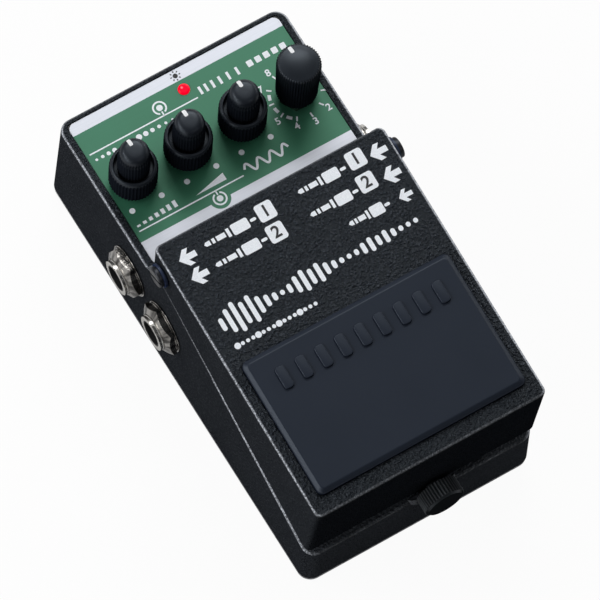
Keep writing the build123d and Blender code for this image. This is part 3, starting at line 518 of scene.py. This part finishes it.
def loftRings(rings, closed=False):  # skin over rings of equal count, with flat ends unless closed
    count = len(rings[0])
    points = [p for ring in rings for p in ring]
    faces = []
    spans = len(rings) if closed else len(rings) - 1
    for k in range(spans):
        a, b = k * count, (k + 1) % len(rings) * count
        for i in range(count):
            j = (i + 1) % count
            faces.append((a + i, a + j, b + j, b + i))
    if not closed:
        faces.append(tuple(reversed(range(count))))
        faces.append(tuple(range((len(rings) - 1) * count, len(rings) * count)))
    return points, faces


def joinPieces(parts):  # several point and face lists as one
    points, faces = [], []
    for some, skin in parts:
        faces += [tuple(i + len(points) for i in face) for face in skin]
        points += some
    return points, faces


def flutedRing(radius, height, centre, teeth, depth, steps=6):
    ring = []
    for i in range(teeth * steps):
        turn = 2 * math.pi * i / (teeth * steps)
        reach = radius - depth * (0.5 - 0.5 * math.cos(teeth * turn)) ** 0.7
        ring.append((centre[0] + reach * math.cos(turn), centre[1] + reach * math.sin(turn), height))
    return ring


def roundBox(halfX, halfY, corner, steps=6):
    ring = []
    for k, (sx, sy) in enumerate(((1, 1), (-1, 1), (-1, -1), (1, -1))):
        for i in range(steps + 1):
            turn = math.pi / 2 * (k + i / steps)
            ring.append((sx * (halfX - corner) + corner * math.cos(turn),
                         sy * (halfY - corner) + corner * math.sin(turn)))
    return ring


def smoothByAngle(piece, degrees):
    piece.data.set_sharp_from_angle(angle=math.radians(degrees))


# outlines for prints, as lists of points

def arc(x, y, radius, start, end, steps):
    turns = [math.radians(start + (end - start) * i / steps) for i in range(steps + 1)]
    return [(x + radius * math.cos(t), y + radius * math.sin(t)) for t in turns]


def disc(x, y, radius, steps=40):
    return arc(x, y, radius, 0, 360, steps)[:-1]


def band(x, y, outer, inner, start, end, steps=32):  # part of a ring
    return arc(x, y, outer, start, end, steps) + arc(x, y, inner, end, start, steps)


def bar(x0, y0, x1, y1, width):
    side = Vector((y0 - y1, x1 - x0)).normalized() * width / 2
    return [(x0 + side.x, y0 + side.y), (x0 - side.x, y0 - side.y),
            (x1 - side.x, y1 - side.y), (x1 + side.x, y1 + side.y)]


def pill(x0, y0, x1, y1, width):  # a bar with round ends
    turn = math.degrees(math.atan2(y1 - y0, x1 - x0))
    start = arc(x0, y0, width / 2, turn + 90, turn + 270, 10)
    return start + arc(x1, y1, width / 2, turn - 90, turn + 90, 10)


def arrow(length, height, shaft):  # points to the left about its middle
    tip, tail, wing = -length / 2, length / 2, height / 2
    crest = tip + wing * 0.86
    neck = tip + shaft * 1.5
    upper = [(tip, 0), (crest, wing), (crest + shaft * 0.95, wing * 0.96),
             (neck, shaft / 2), (tail, shaft / 2)]
    return upper + [(x, -y) for x, y in reversed(upper[1:])]


def wave(left, right, y, swing, turns, width, steps=64):
    line = []
    for i in range(steps + 1):
        share = i / steps
        rise = swing * math.sin(2 * math.pi * turns * share)
        line.append(Vector((left + (right - left) * share, y + rise)))
    upper, lower = [], []
    for i, spot in enumerate(line):
        run = line[min(i + 1, steps)] - line[max(i - 1, 0)]
        side = Vector((-run.y, run.x)).normalized() * width / 2
        upper.append(tuple(spot + side))
        lower.append(tuple(spot - side))
    return upper + lower[::-1]


def plug(length):  # a plug from the side: tip, ring, sleeve, collar, grip and cable
    left = -length / 2

    def at(share):
        return left + length * share

    tip = [(left, 0), (left + 0.5, 0.55), (at(0.12), 0.62), (at(0.12), -0.62), (left + 0.5, -0.55)]
    ring = bar(at(0.155), 0, at(0.21), 0, 1.3)
    sleeve = bar(at(0.245), 0, at(0.42), 0, 1.3)
    collar = bar(at(0.455), 0, at(0.515), 0, 2.3)
    grip = [(at(0.72) + x, y) for x, y in roundBox(length * 0.165, 1.45, 0.5, 4)]
    cable = pill(at(0.945), 0, at(1) + 0.1, 0, 0.8)
    return [tip, ring, sleeve, collar, grip, cable]


# prints: closed films of ink on the surfaces

ink = {"thick": 0.024, "lift": 0.014, "swell": 0.022}


def curveFrom(name, loops):
    curve = bpy.data.curves.new(name, "CURVE")
    curve.dimensions, curve.fill_mode = "2D", "BOTH"
    for loop in loops:
        spline = curve.splines.new("POLY")
        spline.points.add(len(loop) - 1)
        for point, (x, y) in zip(spline.points, loop):
            point.co = (x * mm, y * mm, 0, 1)
        spline.use_cyclic_u = True
    return curve


def digitCurve(name, text, size):
    curve = bpy.data.curves.new(name, "FONT")
    curve.body, curve.size = text, size * mm
    curve.align_x, curve.align_y = "CENTER", "CENTER"
    curve.offset = size * ink["swell"] * mm
    return curve


def printOn(name, curve, where, body, material):
    if isinstance(curve, list):
        curve = curveFrom(name, curve)
    curve.extrude = ink["thick"] / 2 * mm
    shape = bpy.data.objects.new(name + "Curve", curve)
    bpy.context.scene.collection.objects.link(shape)
    bpy.context.view_layer.update()
    mesh = bpy.data.meshes.new_from_object(shape.evaluated_get(bpy.context.evaluated_depsgraph_get()))
    bpy.data.objects.remove(shape)
    mesh.name = name
    mesh.transform(where)
    mesh.materials.clear()
    mesh.materials.append(material)
    made = bpy.data.objects.new(name, mesh)
    bpy.context.scene.collection.objects.link(made)
    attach(made, body)


def treadlePrint(name, x, y, curve, material=whitePrint, layer=1):
    at = Vector((x, y, faceHeight(y) + layer * ink["lift"])) * mm
    where = Matrix.Translation(at) @ Matrix.Rotation(facePitch, 4, "X")
    printOn(name, curve, where, "treadle", material)


def panelPrint(name, curve, x=0, y=0, material=whitePrint):
    where = Matrix.Translation(Vector((x, y, panelHigh.z + ink["lift"])) * mm)
    printOn(name, curve, where, "base", material)


socketRows = {  # places of each row's arrow, plug and badge, the plug's length and the badge's number
    "output1": {"arrow": (-26.15, 10.4), "plug": (-14.2, 10.9), "long": 14.0,
                "badge": (-3.8, 11.25), "digit": "1"},
    "output2": {"arrow": (-25.9, 5.0), "plug": (-14.4, 5.2), "long": 14.0,
                "badge": (-4.2, 5.4), "digit": "2"},
    "input1": {"arrow": (27.9, 10.9), "plug": (11.9, 11.4), "long": 13.0,
               "badge": (22.1, 12.0), "digit": "1"},
    "input2": {"arrow": (27.85, 4.4), "plug": (11.6, 5.0), "long": 13.0,
               "badge": (21.4, 5.7), "digit": "2"},
    "control": {"arrow": (28.0, -1.7), "plug": (17.6, -1.5), "long": 11.0},
}
rowMarks = {"arrow": (4.7, 4.5, 1.55), "small": (3.7, 3.4, 1.15), "badge": (2.3, 2.35, 0.75), "digit": 4.3}


def makeSocketRows():
    m = rowMarks
    for name, row in socketRows.items():
        head = m["arrow"] if "badge" in row else m["small"]
        treadlePrint(name + "Arrow", *row["arrow"], [arrow(*head)])
        treadlePrint(name + "Plug", *row["plug"], plug(row["long"]))
        if "badge" in row:
            treadlePrint(name + "Badge", *row["badge"], [roundBox(*m["badge"])])
            digit = digitCurve(name + "Digit", row["digit"], m["digit"])
            treadlePrint(name + "Digit", *row["badge"], digit, blackPrint, 3)
    print("prints: %d socket rows" % len(socketRows))


echo = {"left": -27.4, "right": 26.8, "y": -8.3, "bursts": (1.0, 0.7, 0.46), "tall": 8.2, "wide": 1.2,
        "shape": (0.42, 0.78, 1.0, 0.72, 0.9, 0.56, 0.38, 0.26, 0.16), "dotsFrom": -27.0, "dotsTo": -5.2,
        "dotsY": -14.6, "dots": 16, "dotR": 0.5, "beatR": 0.82}


def makeEchoMarks():  # bursts of bars, each smaller than the one before, over a row of beats
    e = echo
    sizes = [burst * size for burst in e["bursts"] for size in e["shape"]]
    bars = []
    for i, size in enumerate(sizes):
        x = e["left"] + (e["right"] - e["left"]) * i / (len(sizes) - 1)
        half = max(size * e["tall"] - e["wide"], 0.1) / 2
        bars.append(pill(x, -half, x, half, e["wide"]))
    treadlePrint("echoBars", 0, e["y"], bars)
    beats = []
    for i in range(e["dots"]):
        x = e["dotsFrom"] + (e["dotsTo"] - e["dotsFrom"]) * i / (e["dots"] - 1)
        beats.append(disc(x, 0, e["dotR"] if i % 4 else e["beatR"], 24))
    treadlePrint("beatDots", 0, e["dotsY"], beats)
    print("prints: %d echo bars" % len(bars))


panelMarks = {"upperY": 51.7, "upperX": (-28.9, 1.9), "lowerY": 28.2, "lowerX": (-28.7, 0.9), "line": 0.36,
              "dotY": 33.75, "dotX": 4.15, "dotR": 0.75, "upperIcon": (-7.7, 54.0),
              "lowerIcon": (-7.2, 25.9), "iconOuter": 1.85, "iconInner": 1.4, "iconDot": 0.82, "gap": 24,
              "levelBars": (-28.0, 30.3), "levels": 7, "toneWedge": (-7.5, 30.4), "flutterWave": (8.1, 29.4),
              "levelDots": (-28.0, 49.8), "fadeDots": (-16.0, 49.8), "rateBars": (3.4, 53.0),
              "modeSquares": (17.6, 53.2), "lampSign": (0.0, 59.45)}


def knobIcon(x, y, line):  # a dot in a ring that opens on a stem to the line
    p = panelMarks
    up = 1 if line > y else -1
    return [disc(x, y, p["iconDot"]),
            band(x, y, p["iconOuter"], p["iconInner"], 90 * up + p["gap"], 90 * up + 360 - p["gap"]),
            bar(x, y + up * (p["iconDot"] + 0.25), x, line, p["line"])]


def makePanelMarks():
    p = panelMarks
    panelPrint("panelLines", [bar(p["upperX"][0], p["upperY"], p["upperX"][1], p["upperY"], p["line"]),
                              bar(p["lowerX"][0], p["lowerY"], p["lowerX"][1], p["lowerY"], p["line"])])
    panelPrint("panelDots", [disc(spot.x + side * p["dotX"], p["dotY"], p["dotR"], 28)
                             for spot in knobSpots[:3] for side in (-1, 1)])
    panelPrint("upperIcon", knobIcon(*p["upperIcon"], p["upperY"]))
    panelPrint("lowerIcon", knobIcon(*p["lowerIcon"], p["lowerY"]))
    steps = range(p["levels"])
    signs = {
        "levelBars": [bar(i * 1.75, -1.0, i * 1.75, -0.45 + 1.5 * i / p["levels"], 0.95) for i in steps],
        "toneWedge": [[(-4.3, -0.95), (4.3, -0.95), (4.3, 1.05)]],
        "flutterWave": [wave(-6.2, 6.2, 0, 1.25, 3.5, 0.62)],
        "levelDots": [disc(i * 1.7, 0, 0.35 + 0.09 * i, 20) for i in range(4)],
        "fadeDots": [disc(i * 1.9, 0, 0.78 - 0.1 * i, 24) for i in range(6)],
        "rateBars": [bar(i * 1.5 + 0.12 * i * i, -1.1, i * 1.5 + 0.12 * i * i, 1.1, 0.7) for i in range(6)],
        "modeSquares": [[(x + 2.35 * i, y) for x, y in roundBox(0.78, 0.85, 0.22, 3)] for i in range(5)],
    }
    for name, loops in signs.items():
        panelPrint(name, loops, *p[name])
    rays = []
    for i in range(8):
        turn = math.radians(45 * i)
        way = Vector((math.cos(turn), math.sin(turn)))
        rays.append(bar(way.x * 0.95, way.y * 0.95, way.x * 1.4, way.y * 1.4, 0.3))
    panelPrint("lampSign", rays + [disc(0, 0, 0.65, 24)], *p["lampSign"], blackPrint)
    print("prints: panel")


dial = {"first": 112.0, "step": 32.4, "count": 8, "tickIn": 6.1, "tickOut": 7.4, "tick": 0.42,
        "digitR": 8.75, "digit": 2.6, "arcOut": 7.1, "arcIn": 6.25, "arcHalf": 6.5, "arcs": (3, 4, 5)}


def makeDial():  # positions of the mode control, clockwise from the right
    d = dial
    x, y = knobSpots[3].x, knobSpots[3].y
    ticks, arcs = [], []
    for i in range(d["count"]):
        angle = 90 - d["first"] - d["step"] * i
        way = Vector((math.cos(math.radians(angle)), math.sin(math.radians(angle))))
        start, end, at = way * d["tickIn"], way * d["tickOut"], way * d["digitR"]
        ticks.append(bar(start.x, start.y, end.x, end.y, d["tick"]))
        name = "dialDigit%d" % (i + 1)
        panelPrint(name, digitCurve(name, str(i + 1), d["digit"]), x + at.x, y + at.y)
        if i in d["arcs"]:
            between, half = angle - d["step"] / 2, d["arcHalf"]
            arcs.append(band(0, 0, d["arcOut"], d["arcIn"], between + half, between - half, 8))
    panelPrint("dialTicks", ticks, x, y)
    panelPrint("dialArcs", arcs, x, y)
    print("prints: dial of %d" % d["count"])


makeSocketRows()
makeEchoMarks()
makePanelMarks()
makeDial()


# foot pad

pad = {"front": -56.4, "length": 37.6, "halfX": 29.1, "corner": 1.7, "sunk": 0.5, "rise": 1.5, "fall": 0.75,
       "shoulder": 1.1, "ribs": 9, "ribFrom": -21.6, "ribTo": 22.4, "ribUp": 29.4, "ribHalf": (1.35, 3.0),
       "ribCorner": 0.9, "ribRise": 0.6, "ribSunk": 0.2}


def onPad(outline, height):  # flat pad outline onto the sloping face
    at = Vector((0, pad["front"], faceHeight(pad["front"])))
    where = Matrix.Translation(at) @ Matrix.Rotation(facePitch, 4, "X")
    return [tuple(where @ Vector((x, y, height))) for x, y in outline]


def padRing(inset, height):
    half = pad["length"] / 2
    flat = roundBox(pad["halfX"] - inset, half - inset, max(pad["corner"] - inset * 0.6, 0.5), 8)
    return onPad([(x, y + half) for x, y in flat], height)


def ribRing(x, inset, height):
    halfX, halfY = pad["ribHalf"]
    flat = roundBox(halfX - inset, halfY - inset, max(pad["ribCorner"] - inset, 0.15), 5)
    return onPad([(x + px, pad["ribUp"] + py) for px, py in flat], pad["rise"] + height)


def makePad():
    p = pad
    rings = [padRing(0, -p["sunk"]), padRing(0, p["rise"] - p["fall"])]
    for share, tuck in ((0.0, 0.12), (0.14, 0.03), (0.5, 0.0), (0.86, 0.03), (1.0, 0.0), (1.3, -0.03)):
        rings.append(padRing(p["shoulder"] * share + tuck, p["rise"] - p["fall"] * max(1 - share, 0)))
    made = pieceFrom("footPad", *loftRings(rings), "treadle", "pad_rubber", paint["pad_rubber"])
    smoothByAngle(made, 50)
    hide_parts("treadle_pad")
    for k in range(p["ribs"]):
        x = p["ribFrom"] + (p["ribTo"] - p["ribFrom"]) * k / (p["ribs"] - 1)
        rings = [ribRing(x, -0.06, -p["ribSunk"])]
        for inset, share in ((0, 0.3), (0.06, 0.8), (0.14, 0.96), (0.26, 1)):
            rings.append(ribRing(x, inset, p["ribRise"] * share))
        name = "padRib%d" % (k + 1)
        rib = pieceFrom(name, *loftRings(rings), "treadle", "pad_rubber", paint["pad_rubber"])
        smoothByAngle(rib, 50)
    print("pad: %d ribs" % p["ribs"])


makePad()


# knobs, turned about their own axes

ringKnob = {"mouth": 4.85, "floor": 2.15, "bore": 5.15, "boreDeep": 2.6, "neck": 2.42, "teeth": 44,
            "depth": 0.26, "foot": 0.35, "rim": 0.85, "bevel": 0.75}
capKnob = {"dome": 2.7, "waist": 0.05, "crown": 0.7, "teeth": 34, "depth": 0.18, "foot": 0.25,
           "mark": (1.2, 3.25)}
modeKnob = {"footIn": 0.3, "bore": 3.5, "boreDeep": 1.6, "teeth": 50, "depth": 0.32, "edge": 0.85,
            "crown": 0.75, "mark": (2.8, 4.8)}
pointer = {"half": 0.5, "corner": 0.42, "rise": 0.05, "sunk": 0.12, "rows": 12}


def turnedOn(node, body, name, teeth, profile, closed=False):  # profile rows: radius, height, flute depth
    centre = middleOf(node)
    rings = [flutedRing(radius, height, centre, teeth, depth) for radius, height, depth in profile]
    made = pieceFrom(name, *loftRings(rings, closed), body, "knob_plastic", paint["knob_plastic"])
    smoothByAngle(made, 38)
    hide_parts(node)


def makePointer(name, spot, reach, heightAt, body):  # a painted stroke that follows the top of a knob
    p = pointer
    inner, outer = reach
    upper, lower = [], []
    for i in range(p["rows"] + 1):
        out = inner + (outer - inner) * i / p["rows"]
        end = min(out - inner, outer - out)
        half = p["half"] - 0.45 * max(p["corner"] - end, 0) ** 2 / p["corner"]
        for side in (-half, half):
            upper.append((spot.x + side, spot.y + out, heightAt(out) + p["rise"]))
            lower.append((spot.x + side, spot.y + out, heightAt(out) - p["sunk"]))
    n = len(upper)
    faces = [(0, n, n + 1, 1), (n - 2, n - 1, 2 * n - 1, 2 * n - 2)]
    for a in range(0, n - 2, 2):
        faces += [(a, a + 1, a + 3, a + 2), (n + a, n + a + 2, n + a + 3, n + a + 1),
                  (a, a + 2, n + a + 2, n + a), (a + 1, n + a + 1, n + a + 3, a + 3)]
    pieceFrom(name, upper + lower, faces, body, "knob_plastic", markPaint, False)


def makeRingKnob(number):
    k = ringKnob
    node = "outer_knob_%d" % number
    low, high = boxOf(node)
    foot, top, radius = low.z, high.z, (high.x - low.x) / 2
    rows = [(k["bore"], foot + k["boreDeep"], 0), (k["bore"], foot, 0), (radius - k["foot"], foot, 0),
            (radius, foot + k["foot"], k["depth"]), (radius, top - k["rim"] - 0.4, k["depth"]),
            (radius - 0.04, top - k["rim"] - 0.15, k["depth"] * 0.5)]
    for i in range(1, 7):
        turn = math.pi / 2 * i / 6
        reach = radius - 0.2 - k["bevel"] * (1 - math.cos(turn))
        rows.append((reach, top - k["rim"] * (1 - math.sin(turn)), 0))
    mouth, floor = k["mouth"], top - k["floor"]
    rows += [(mouth + 0.3, top - 0.02, 0), (mouth + 0.08, top - 0.18, 0), (mouth, top - 0.42, 0),
             (mouth, floor, 0), (k["neck"], floor, 0), (k["neck"], foot + k["boreDeep"], 0)]
    turnedOn(node, "outer_control_%d" % number, "ringKnob%d" % number, k["teeth"], rows, True)


def capRow(radius, top, share):  # one row of the domed end, from its edge at 0 to the crown at 1
    k = capKnob
    turn = math.pi / 2 * share
    edge = radius - k["waist"] - 0.12
    reach = k["crown"] + (edge - k["crown"]) * math.cos(turn) ** 0.55
    return reach, top - k["dome"] * (1 - math.sin(turn))


def makeCapKnob(number):
    k = capKnob
    node, body = "inner_knob_%d" % number, "inner_control_%d" % number
    low, high = boxOf(node)
    foot, top, radius = low.z, high.z, (high.x - low.x) / 2
    shoulder = top - k["dome"]
    rows = [(radius - k["foot"], foot, 0), (radius, foot + k["foot"], k["depth"]),
            (radius - k["waist"] + 0.04, shoulder - 1.2, k["depth"]),
            (radius - k["waist"], shoulder - 0.5, k["depth"])]
    rows += [(*capRow(radius, top, i / 12), k["depth"] * max(1 - i / 5, 0)) for i in range(13)]
    turnedOn(node, body, "capKnob%d" % number, k["teeth"], rows)

    def heightAt(reach):
        spots = [capRow(radius, top, i / 100) for i in range(101)]
        return next((z for r, z in spots if r <= reach), top)

    makePointer("capMark%d" % number, knobSpots[number - 1], k["mark"], heightAt, body)


def makeModeKnob():
    k = modeKnob
    low, high = boxOf("mode_knob")
    foot, top, radius = low.z, high.z, (high.x - low.x) / 2
    face = radius - 0.1 - k["edge"]
    rows = [(k["bore"], foot + k["boreDeep"], 0), (k["bore"], foot, 0), (radius - 0.65, foot, 0),
            (radius - 0.35, foot + k["footIn"], k["depth"]),
            (radius, top - k["edge"] - k["crown"], k["depth"])]
    for i in range(1, 6):
        turn = math.pi / 2 * i / 5
        rows.append((face + k["edge"] * math.cos(turn), top - k["crown"] - k["edge"] * (1 - math.sin(turn)),
                     k["depth"] * (1 - i / 7)))

    def heightAt(reach):
        return top - k["crown"] * min(reach / face, 1.0) ** 2

    rows += [(face * (1 - i / 5.4), heightAt(face * (1 - i / 5.4)), 0) for i in range(1, 6)]
    turnedOn("mode_knob", "mode_control", "modeKnob", k["teeth"], rows)
    makePointer("modeMark", knobSpots[3], k["mark"], heightAt, "mode_control")


for number in (1, 2, 3):
    makeRingKnob(number)
    makeCapKnob(number)
makeModeKnob()
print("knobs: %d" % (2 * len(knobSpots) - 1))


# socket nuts, washers and threads

socketFit = {"flats": 12.6, "thick": 2.35, "slope": 0.68, "bush": 4.7, "pitch": 0.62, "ridge": 0.22,
             "steps": 72, "washer": 0.62, "washerR": 7.1, "lockR": 6.75, "gap": 0.04, "lip": 0.35,
             "bore": 3.78,
             "turns": {"output_jack_1": 10, "output_jack_2": 45, "input_jack_1": 5, "input_jack_2": 40,
                       "control_jack": 20}}


def ringAlongX(side, y, rows):  # rows: reach along X and radius, one for each step round
    turns = [2 * math.pi * i / len(rows) for i in range(len(rows))]
    ring = [(side * x, y + r * math.cos(t), socketAxis + r * math.sin(t)) for (x, r), t in zip(rows, turns)]
    return ring if side > 0 else ring[::-1]


def hexRadii(turn):
    s = socketFit
    leans = [(360 * i / s["steps"] + turn) % 60 - 30 for i in range(s["steps"])]
    return [s["flats"] / 2 / math.cos(math.radians(lean)) for lean in leans]


def makeSocketFittings():
    s = socketFit
    nuts, threads, washers = [], [], []
    seat = boxOf("jack_washers")[1].x
    face, foot = seat + s["thick"], seat - s["washer"]
    bush, rim, hole = s["bush"], s["bush"] + 0.5, s["bush"] + 0.05
    for jack, turn in s["turns"].items():
        low, high = boxOf(jack)
        side = 1 if high.x > -low.x else -1
        mouth = max(high.x, -low.x)
        y = (low.y + high.y) / 2

        def ring(x, radius):
            return ringAlongX(side, y, [(x, radius)] * s["steps"])

        # a broad cone leaves a scallop on each flat
        sides = hexRadii(turn)
        rings = [ringAlongX(side, y, [(seat + s["gap"], r) for r in sides]),
                 ringAlongX(side, y, [(face - (r - rim) * s["slope"], r) for r in sides]),
                 ring(face, rim), ring(face + 0.02, rim - 0.15), ring(face - 0.25, hole),
                 ring(seat + s["gap"], hole)]
        nuts.append(loftRings(rings, True))
        # a flat washer under a smaller spring washer, with a groove between
        rows = ((0.0, 0.0), (0.2, 0.0), (0.27, -0.07), (0.3, -0.5), (0.36, -0.5))
        rings = [ring(foot + x, s["washerR"] + r) for x, r in rows]
        rings += [ring(foot + 0.4, s["lockR"]), ring(seat - 0.06, s["lockR"]), ring(seat, s["lockR"] - 0.08),
                  ring(seat, bush + 0.1), ring(foot, bush + 0.1)]
        washers.append(loftRings(rings, True))
        # ridges up to a rounded lip
        start, length = face - 0.3, mouth - face - s["lip"]
        count = max(int(length / s["pitch"]), 1)
        rings = []
        for i in range(count * 8 + 1):
            share = i / (count * 8)
            crest = s["ridge"] * (0.5 - 0.5 * math.cos(2 * math.pi * share * count))
            rings.append(ring(start + (length + 0.3) * share, bush - 0.16 + crest))
        for i in range(1, 7):
            lip = math.pi * i / 6
            x = mouth - s["lip"] + s["lip"] * math.sin(lip)
            rings.append(ring(x, bush - 0.5 + 0.42 * math.cos(lip)))
        rings += [ring(mouth - 1.0, s["bore"]), ring(start, s["bore"])]
        threads.append(loftRings(rings, True))
    made = pieceFrom("socketNuts", *joinPieces(nuts), "base", "nickel", paint["nickel"])
    smoothByAngle(made, 28)
    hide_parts("jack_nuts")
    made = pieceFrom("socketWashers", *joinPieces(washers), "base", "nickel", paint["nickel"])
    smoothByAngle(made, 40)
    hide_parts("jack_washers")
    made = pieceFrom("socketThreads", *joinPieces(threads), "base", "nickel", brightPlate)
    smoothByAngle(made, 60)
    print("sockets: %d" % len(nuts))


makeSocketFittings()


# return spring, drawn as wire with closed ends

spring = {"wire": 0.45, "turns": 8.5, "sides": 10, "perTurn": 28, "closed": 0.09, "keep": 0.922}


def makeSpring():
    s = spring
    low, high = boxOf("treadle_spring")
    centre, reach = (low + high) / 2, (high.x - low.x) / 2 - s["wire"]
    foot, head, lead = low.z + s["wire"], high.z - s["wire"], 2.1 * s["wire"]
    steps = int(s["turns"] * s["perTurn"])
    line = []
    for i in range(steps + 1):
        share = i / steps
        turn = 2 * math.pi * s["turns"] * share
        ends = min(share / s["closed"], 1) + max((share - 1) / s["closed"] + 1, 0)
        body = min(max((share - s["closed"]) / (1 - 2 * s["closed"]), 0), 1)
        z = foot + lead * ends + (head - foot - 2 * lead) * body
        line.append(Vector((centre.x + reach * math.cos(turn), centre.y + reach * math.sin(turn), z)))
    turns = [2 * math.pi * k / s["sides"] for k in range(s["sides"])]
    rings = []
    for i, spot in enumerate(line):
        run = (line[min(i + 1, steps)] - line[max(i - 1, 0)]).normalized()
        out = Vector((spot.x - centre.x, spot.y - centre.y, 0)).normalized()
        up = run.cross(out).normalized()
        out = up.cross(run)
        rings.append([tuple(spot + s["wire"] * (out * math.cos(t) + up * math.sin(t))) for t in turns])
    made = pieceFrom("returnSpring", *loftRings(rings), "base", "spring_steel", paint["spring_steel"])
    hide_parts("treadle_spring")
    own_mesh(made)
    print("spring: %.1f turns" % s["turns"])


makeSpring()


# stage, light and camera, in metres

stage = {"half": 3.0, "low": -0.0004, "deep": (0.78, 0.78, 0.78), "peak": (0.82, 0.82, 0.82), "seen": 0.95,
         "mirrored": 0.12, "sky": (0.93, 0.96, 1.0, 1), "skyStrength": 0.09, "aim": (0, 0, 0.03)}
lamps = {
    "rearKey": {"at": (0.42, 0.78, 1.0), "size": (0.8, 0.4), "power": 8.6},
    "overhead": {"at": (0.25, 0.12, 1.15), "size": (0.8, 0.8), "power": 0.6},
    "leftStrip": {"at": (-0.85, 0.38, 0.8), "size": (1.0, 0.14), "power": 6.5},
    "leftFill": {"at": (-1.1, -0.2, 0.4), "size": (1.0, 0.5), "power": 3.8},
    "rightStrip": {"at": (1.1, 0.37, 0.34), "size": (1.2, 0.12), "power": 3.5},
    "frontFill": {"at": (0.25, -0.75, 0.85), "size": (0.6, 0.2), "power": 0.6},
}
lens = {"azimuth": -36.55, "elevation": 67.55, "roll": 5.91, "focal": 451.06, "sensor": 36.0, "away": 1.844,
        "aim": (0.00067, -0.00029, 0.02), "near": 0.05, "far": 20.0}


def makeFloor():
    s = stage
    f = Finish("paleFloor")
    cloud = f.noise(f.place(), 0.01)
    seen, glossy, through = (f.node("ShaderNodeLightPath", {}, {}, "Is %s Ray" % kind)
                             for kind in ("Camera", "Glossy", "Transmission"))
    white = f.node("ShaderNodeEmission", {}, {"Color": (1, 1, 1, 1), "Strength": 1.0})
    pale = f.node("ShaderNodeBsdfDiffuse", {}, {"Color": f.mix(cloud, s["deep"], s["peak"])})
    share = f.clamp(s["seen"] * seen + s["mirrored"] * (glossy + through))
    f.close(f.node("ShaderNodeMixShader", {}, {0: share, 1: pale, 2: white}))
    mesh = bpy.data.meshes.new("floor")
    corners = [(x * s["half"], y * s["half"], s["low"]) for x, y in ((-1, -1), (1, -1), (1, 1), (-1, 1))]
    mesh.from_pydata(corners, [], [(0, 1, 2, 3)])
    mesh.materials.append(f.material)
    floor = bpy.data.objects.new("floor", mesh)
    bpy.context.scene.collection.objects.link(floor)


def makeLamps():
    for name, setting in lamps.items():
        light = bpy.data.lights.new(name, "AREA")
        light.shape, light.energy = "RECTANGLE", setting["power"]
        light.size, light.size_y = setting["size"]
        lamp = bpy.data.objects.new(name, light)
        bpy.context.scene.collection.objects.link(lamp)
        lamp.location = setting["at"]
        way = Vector(stage["aim"]) - Vector(setting["at"])
        lamp.rotation_euler = way.to_track_quat("-Z", "Y").to_euler()
    world = bpy.data.worlds.new("studio")
    bpy.context.scene.world = world
    world.use_nodes = True
    sky = world.node_tree.nodes["Background"]
    sky.inputs["Color"].default_value = stage["sky"]
    sky.inputs["Strength"].default_value = stage["skyStrength"]


def makeCamera():
    c = lens
    a, e, r = (math.radians(c[k]) for k in ("azimuth", "elevation", "roll"))
    back = Vector((math.sin(a) * math.cos(e), -math.cos(a) * math.cos(e), math.sin(e)))
    flat = Vector((math.cos(a), math.sin(a), 0))
    right = flat * math.cos(r) + back.cross(flat) * math.sin(r)
    up = back.cross(right)
    data = bpy.data.cameras.new("photoView")
    data.sensor_fit, data.sensor_width, data.lens = "HORIZONTAL", c["sensor"], c["focal"]
    data.clip_start, data.clip_end = c["near"], c["far"]
    camera = bpy.data.objects.new("photoView", data)
    bpy.context.scene.collection.objects.link(camera)
    turn = Matrix((right, up, back)).transposed().to_4x4()
    camera.matrix_world = Matrix.Translation(Vector(c["aim"]) + back * c["away"]) @ turn
    bpy.context.scene.camera = camera


makeFloor()
makeLamps()
makeCamera()
bpy.context.scene.view_settings.view_transform = "Standard"
print("stage: %d lamps" % len(lamps))
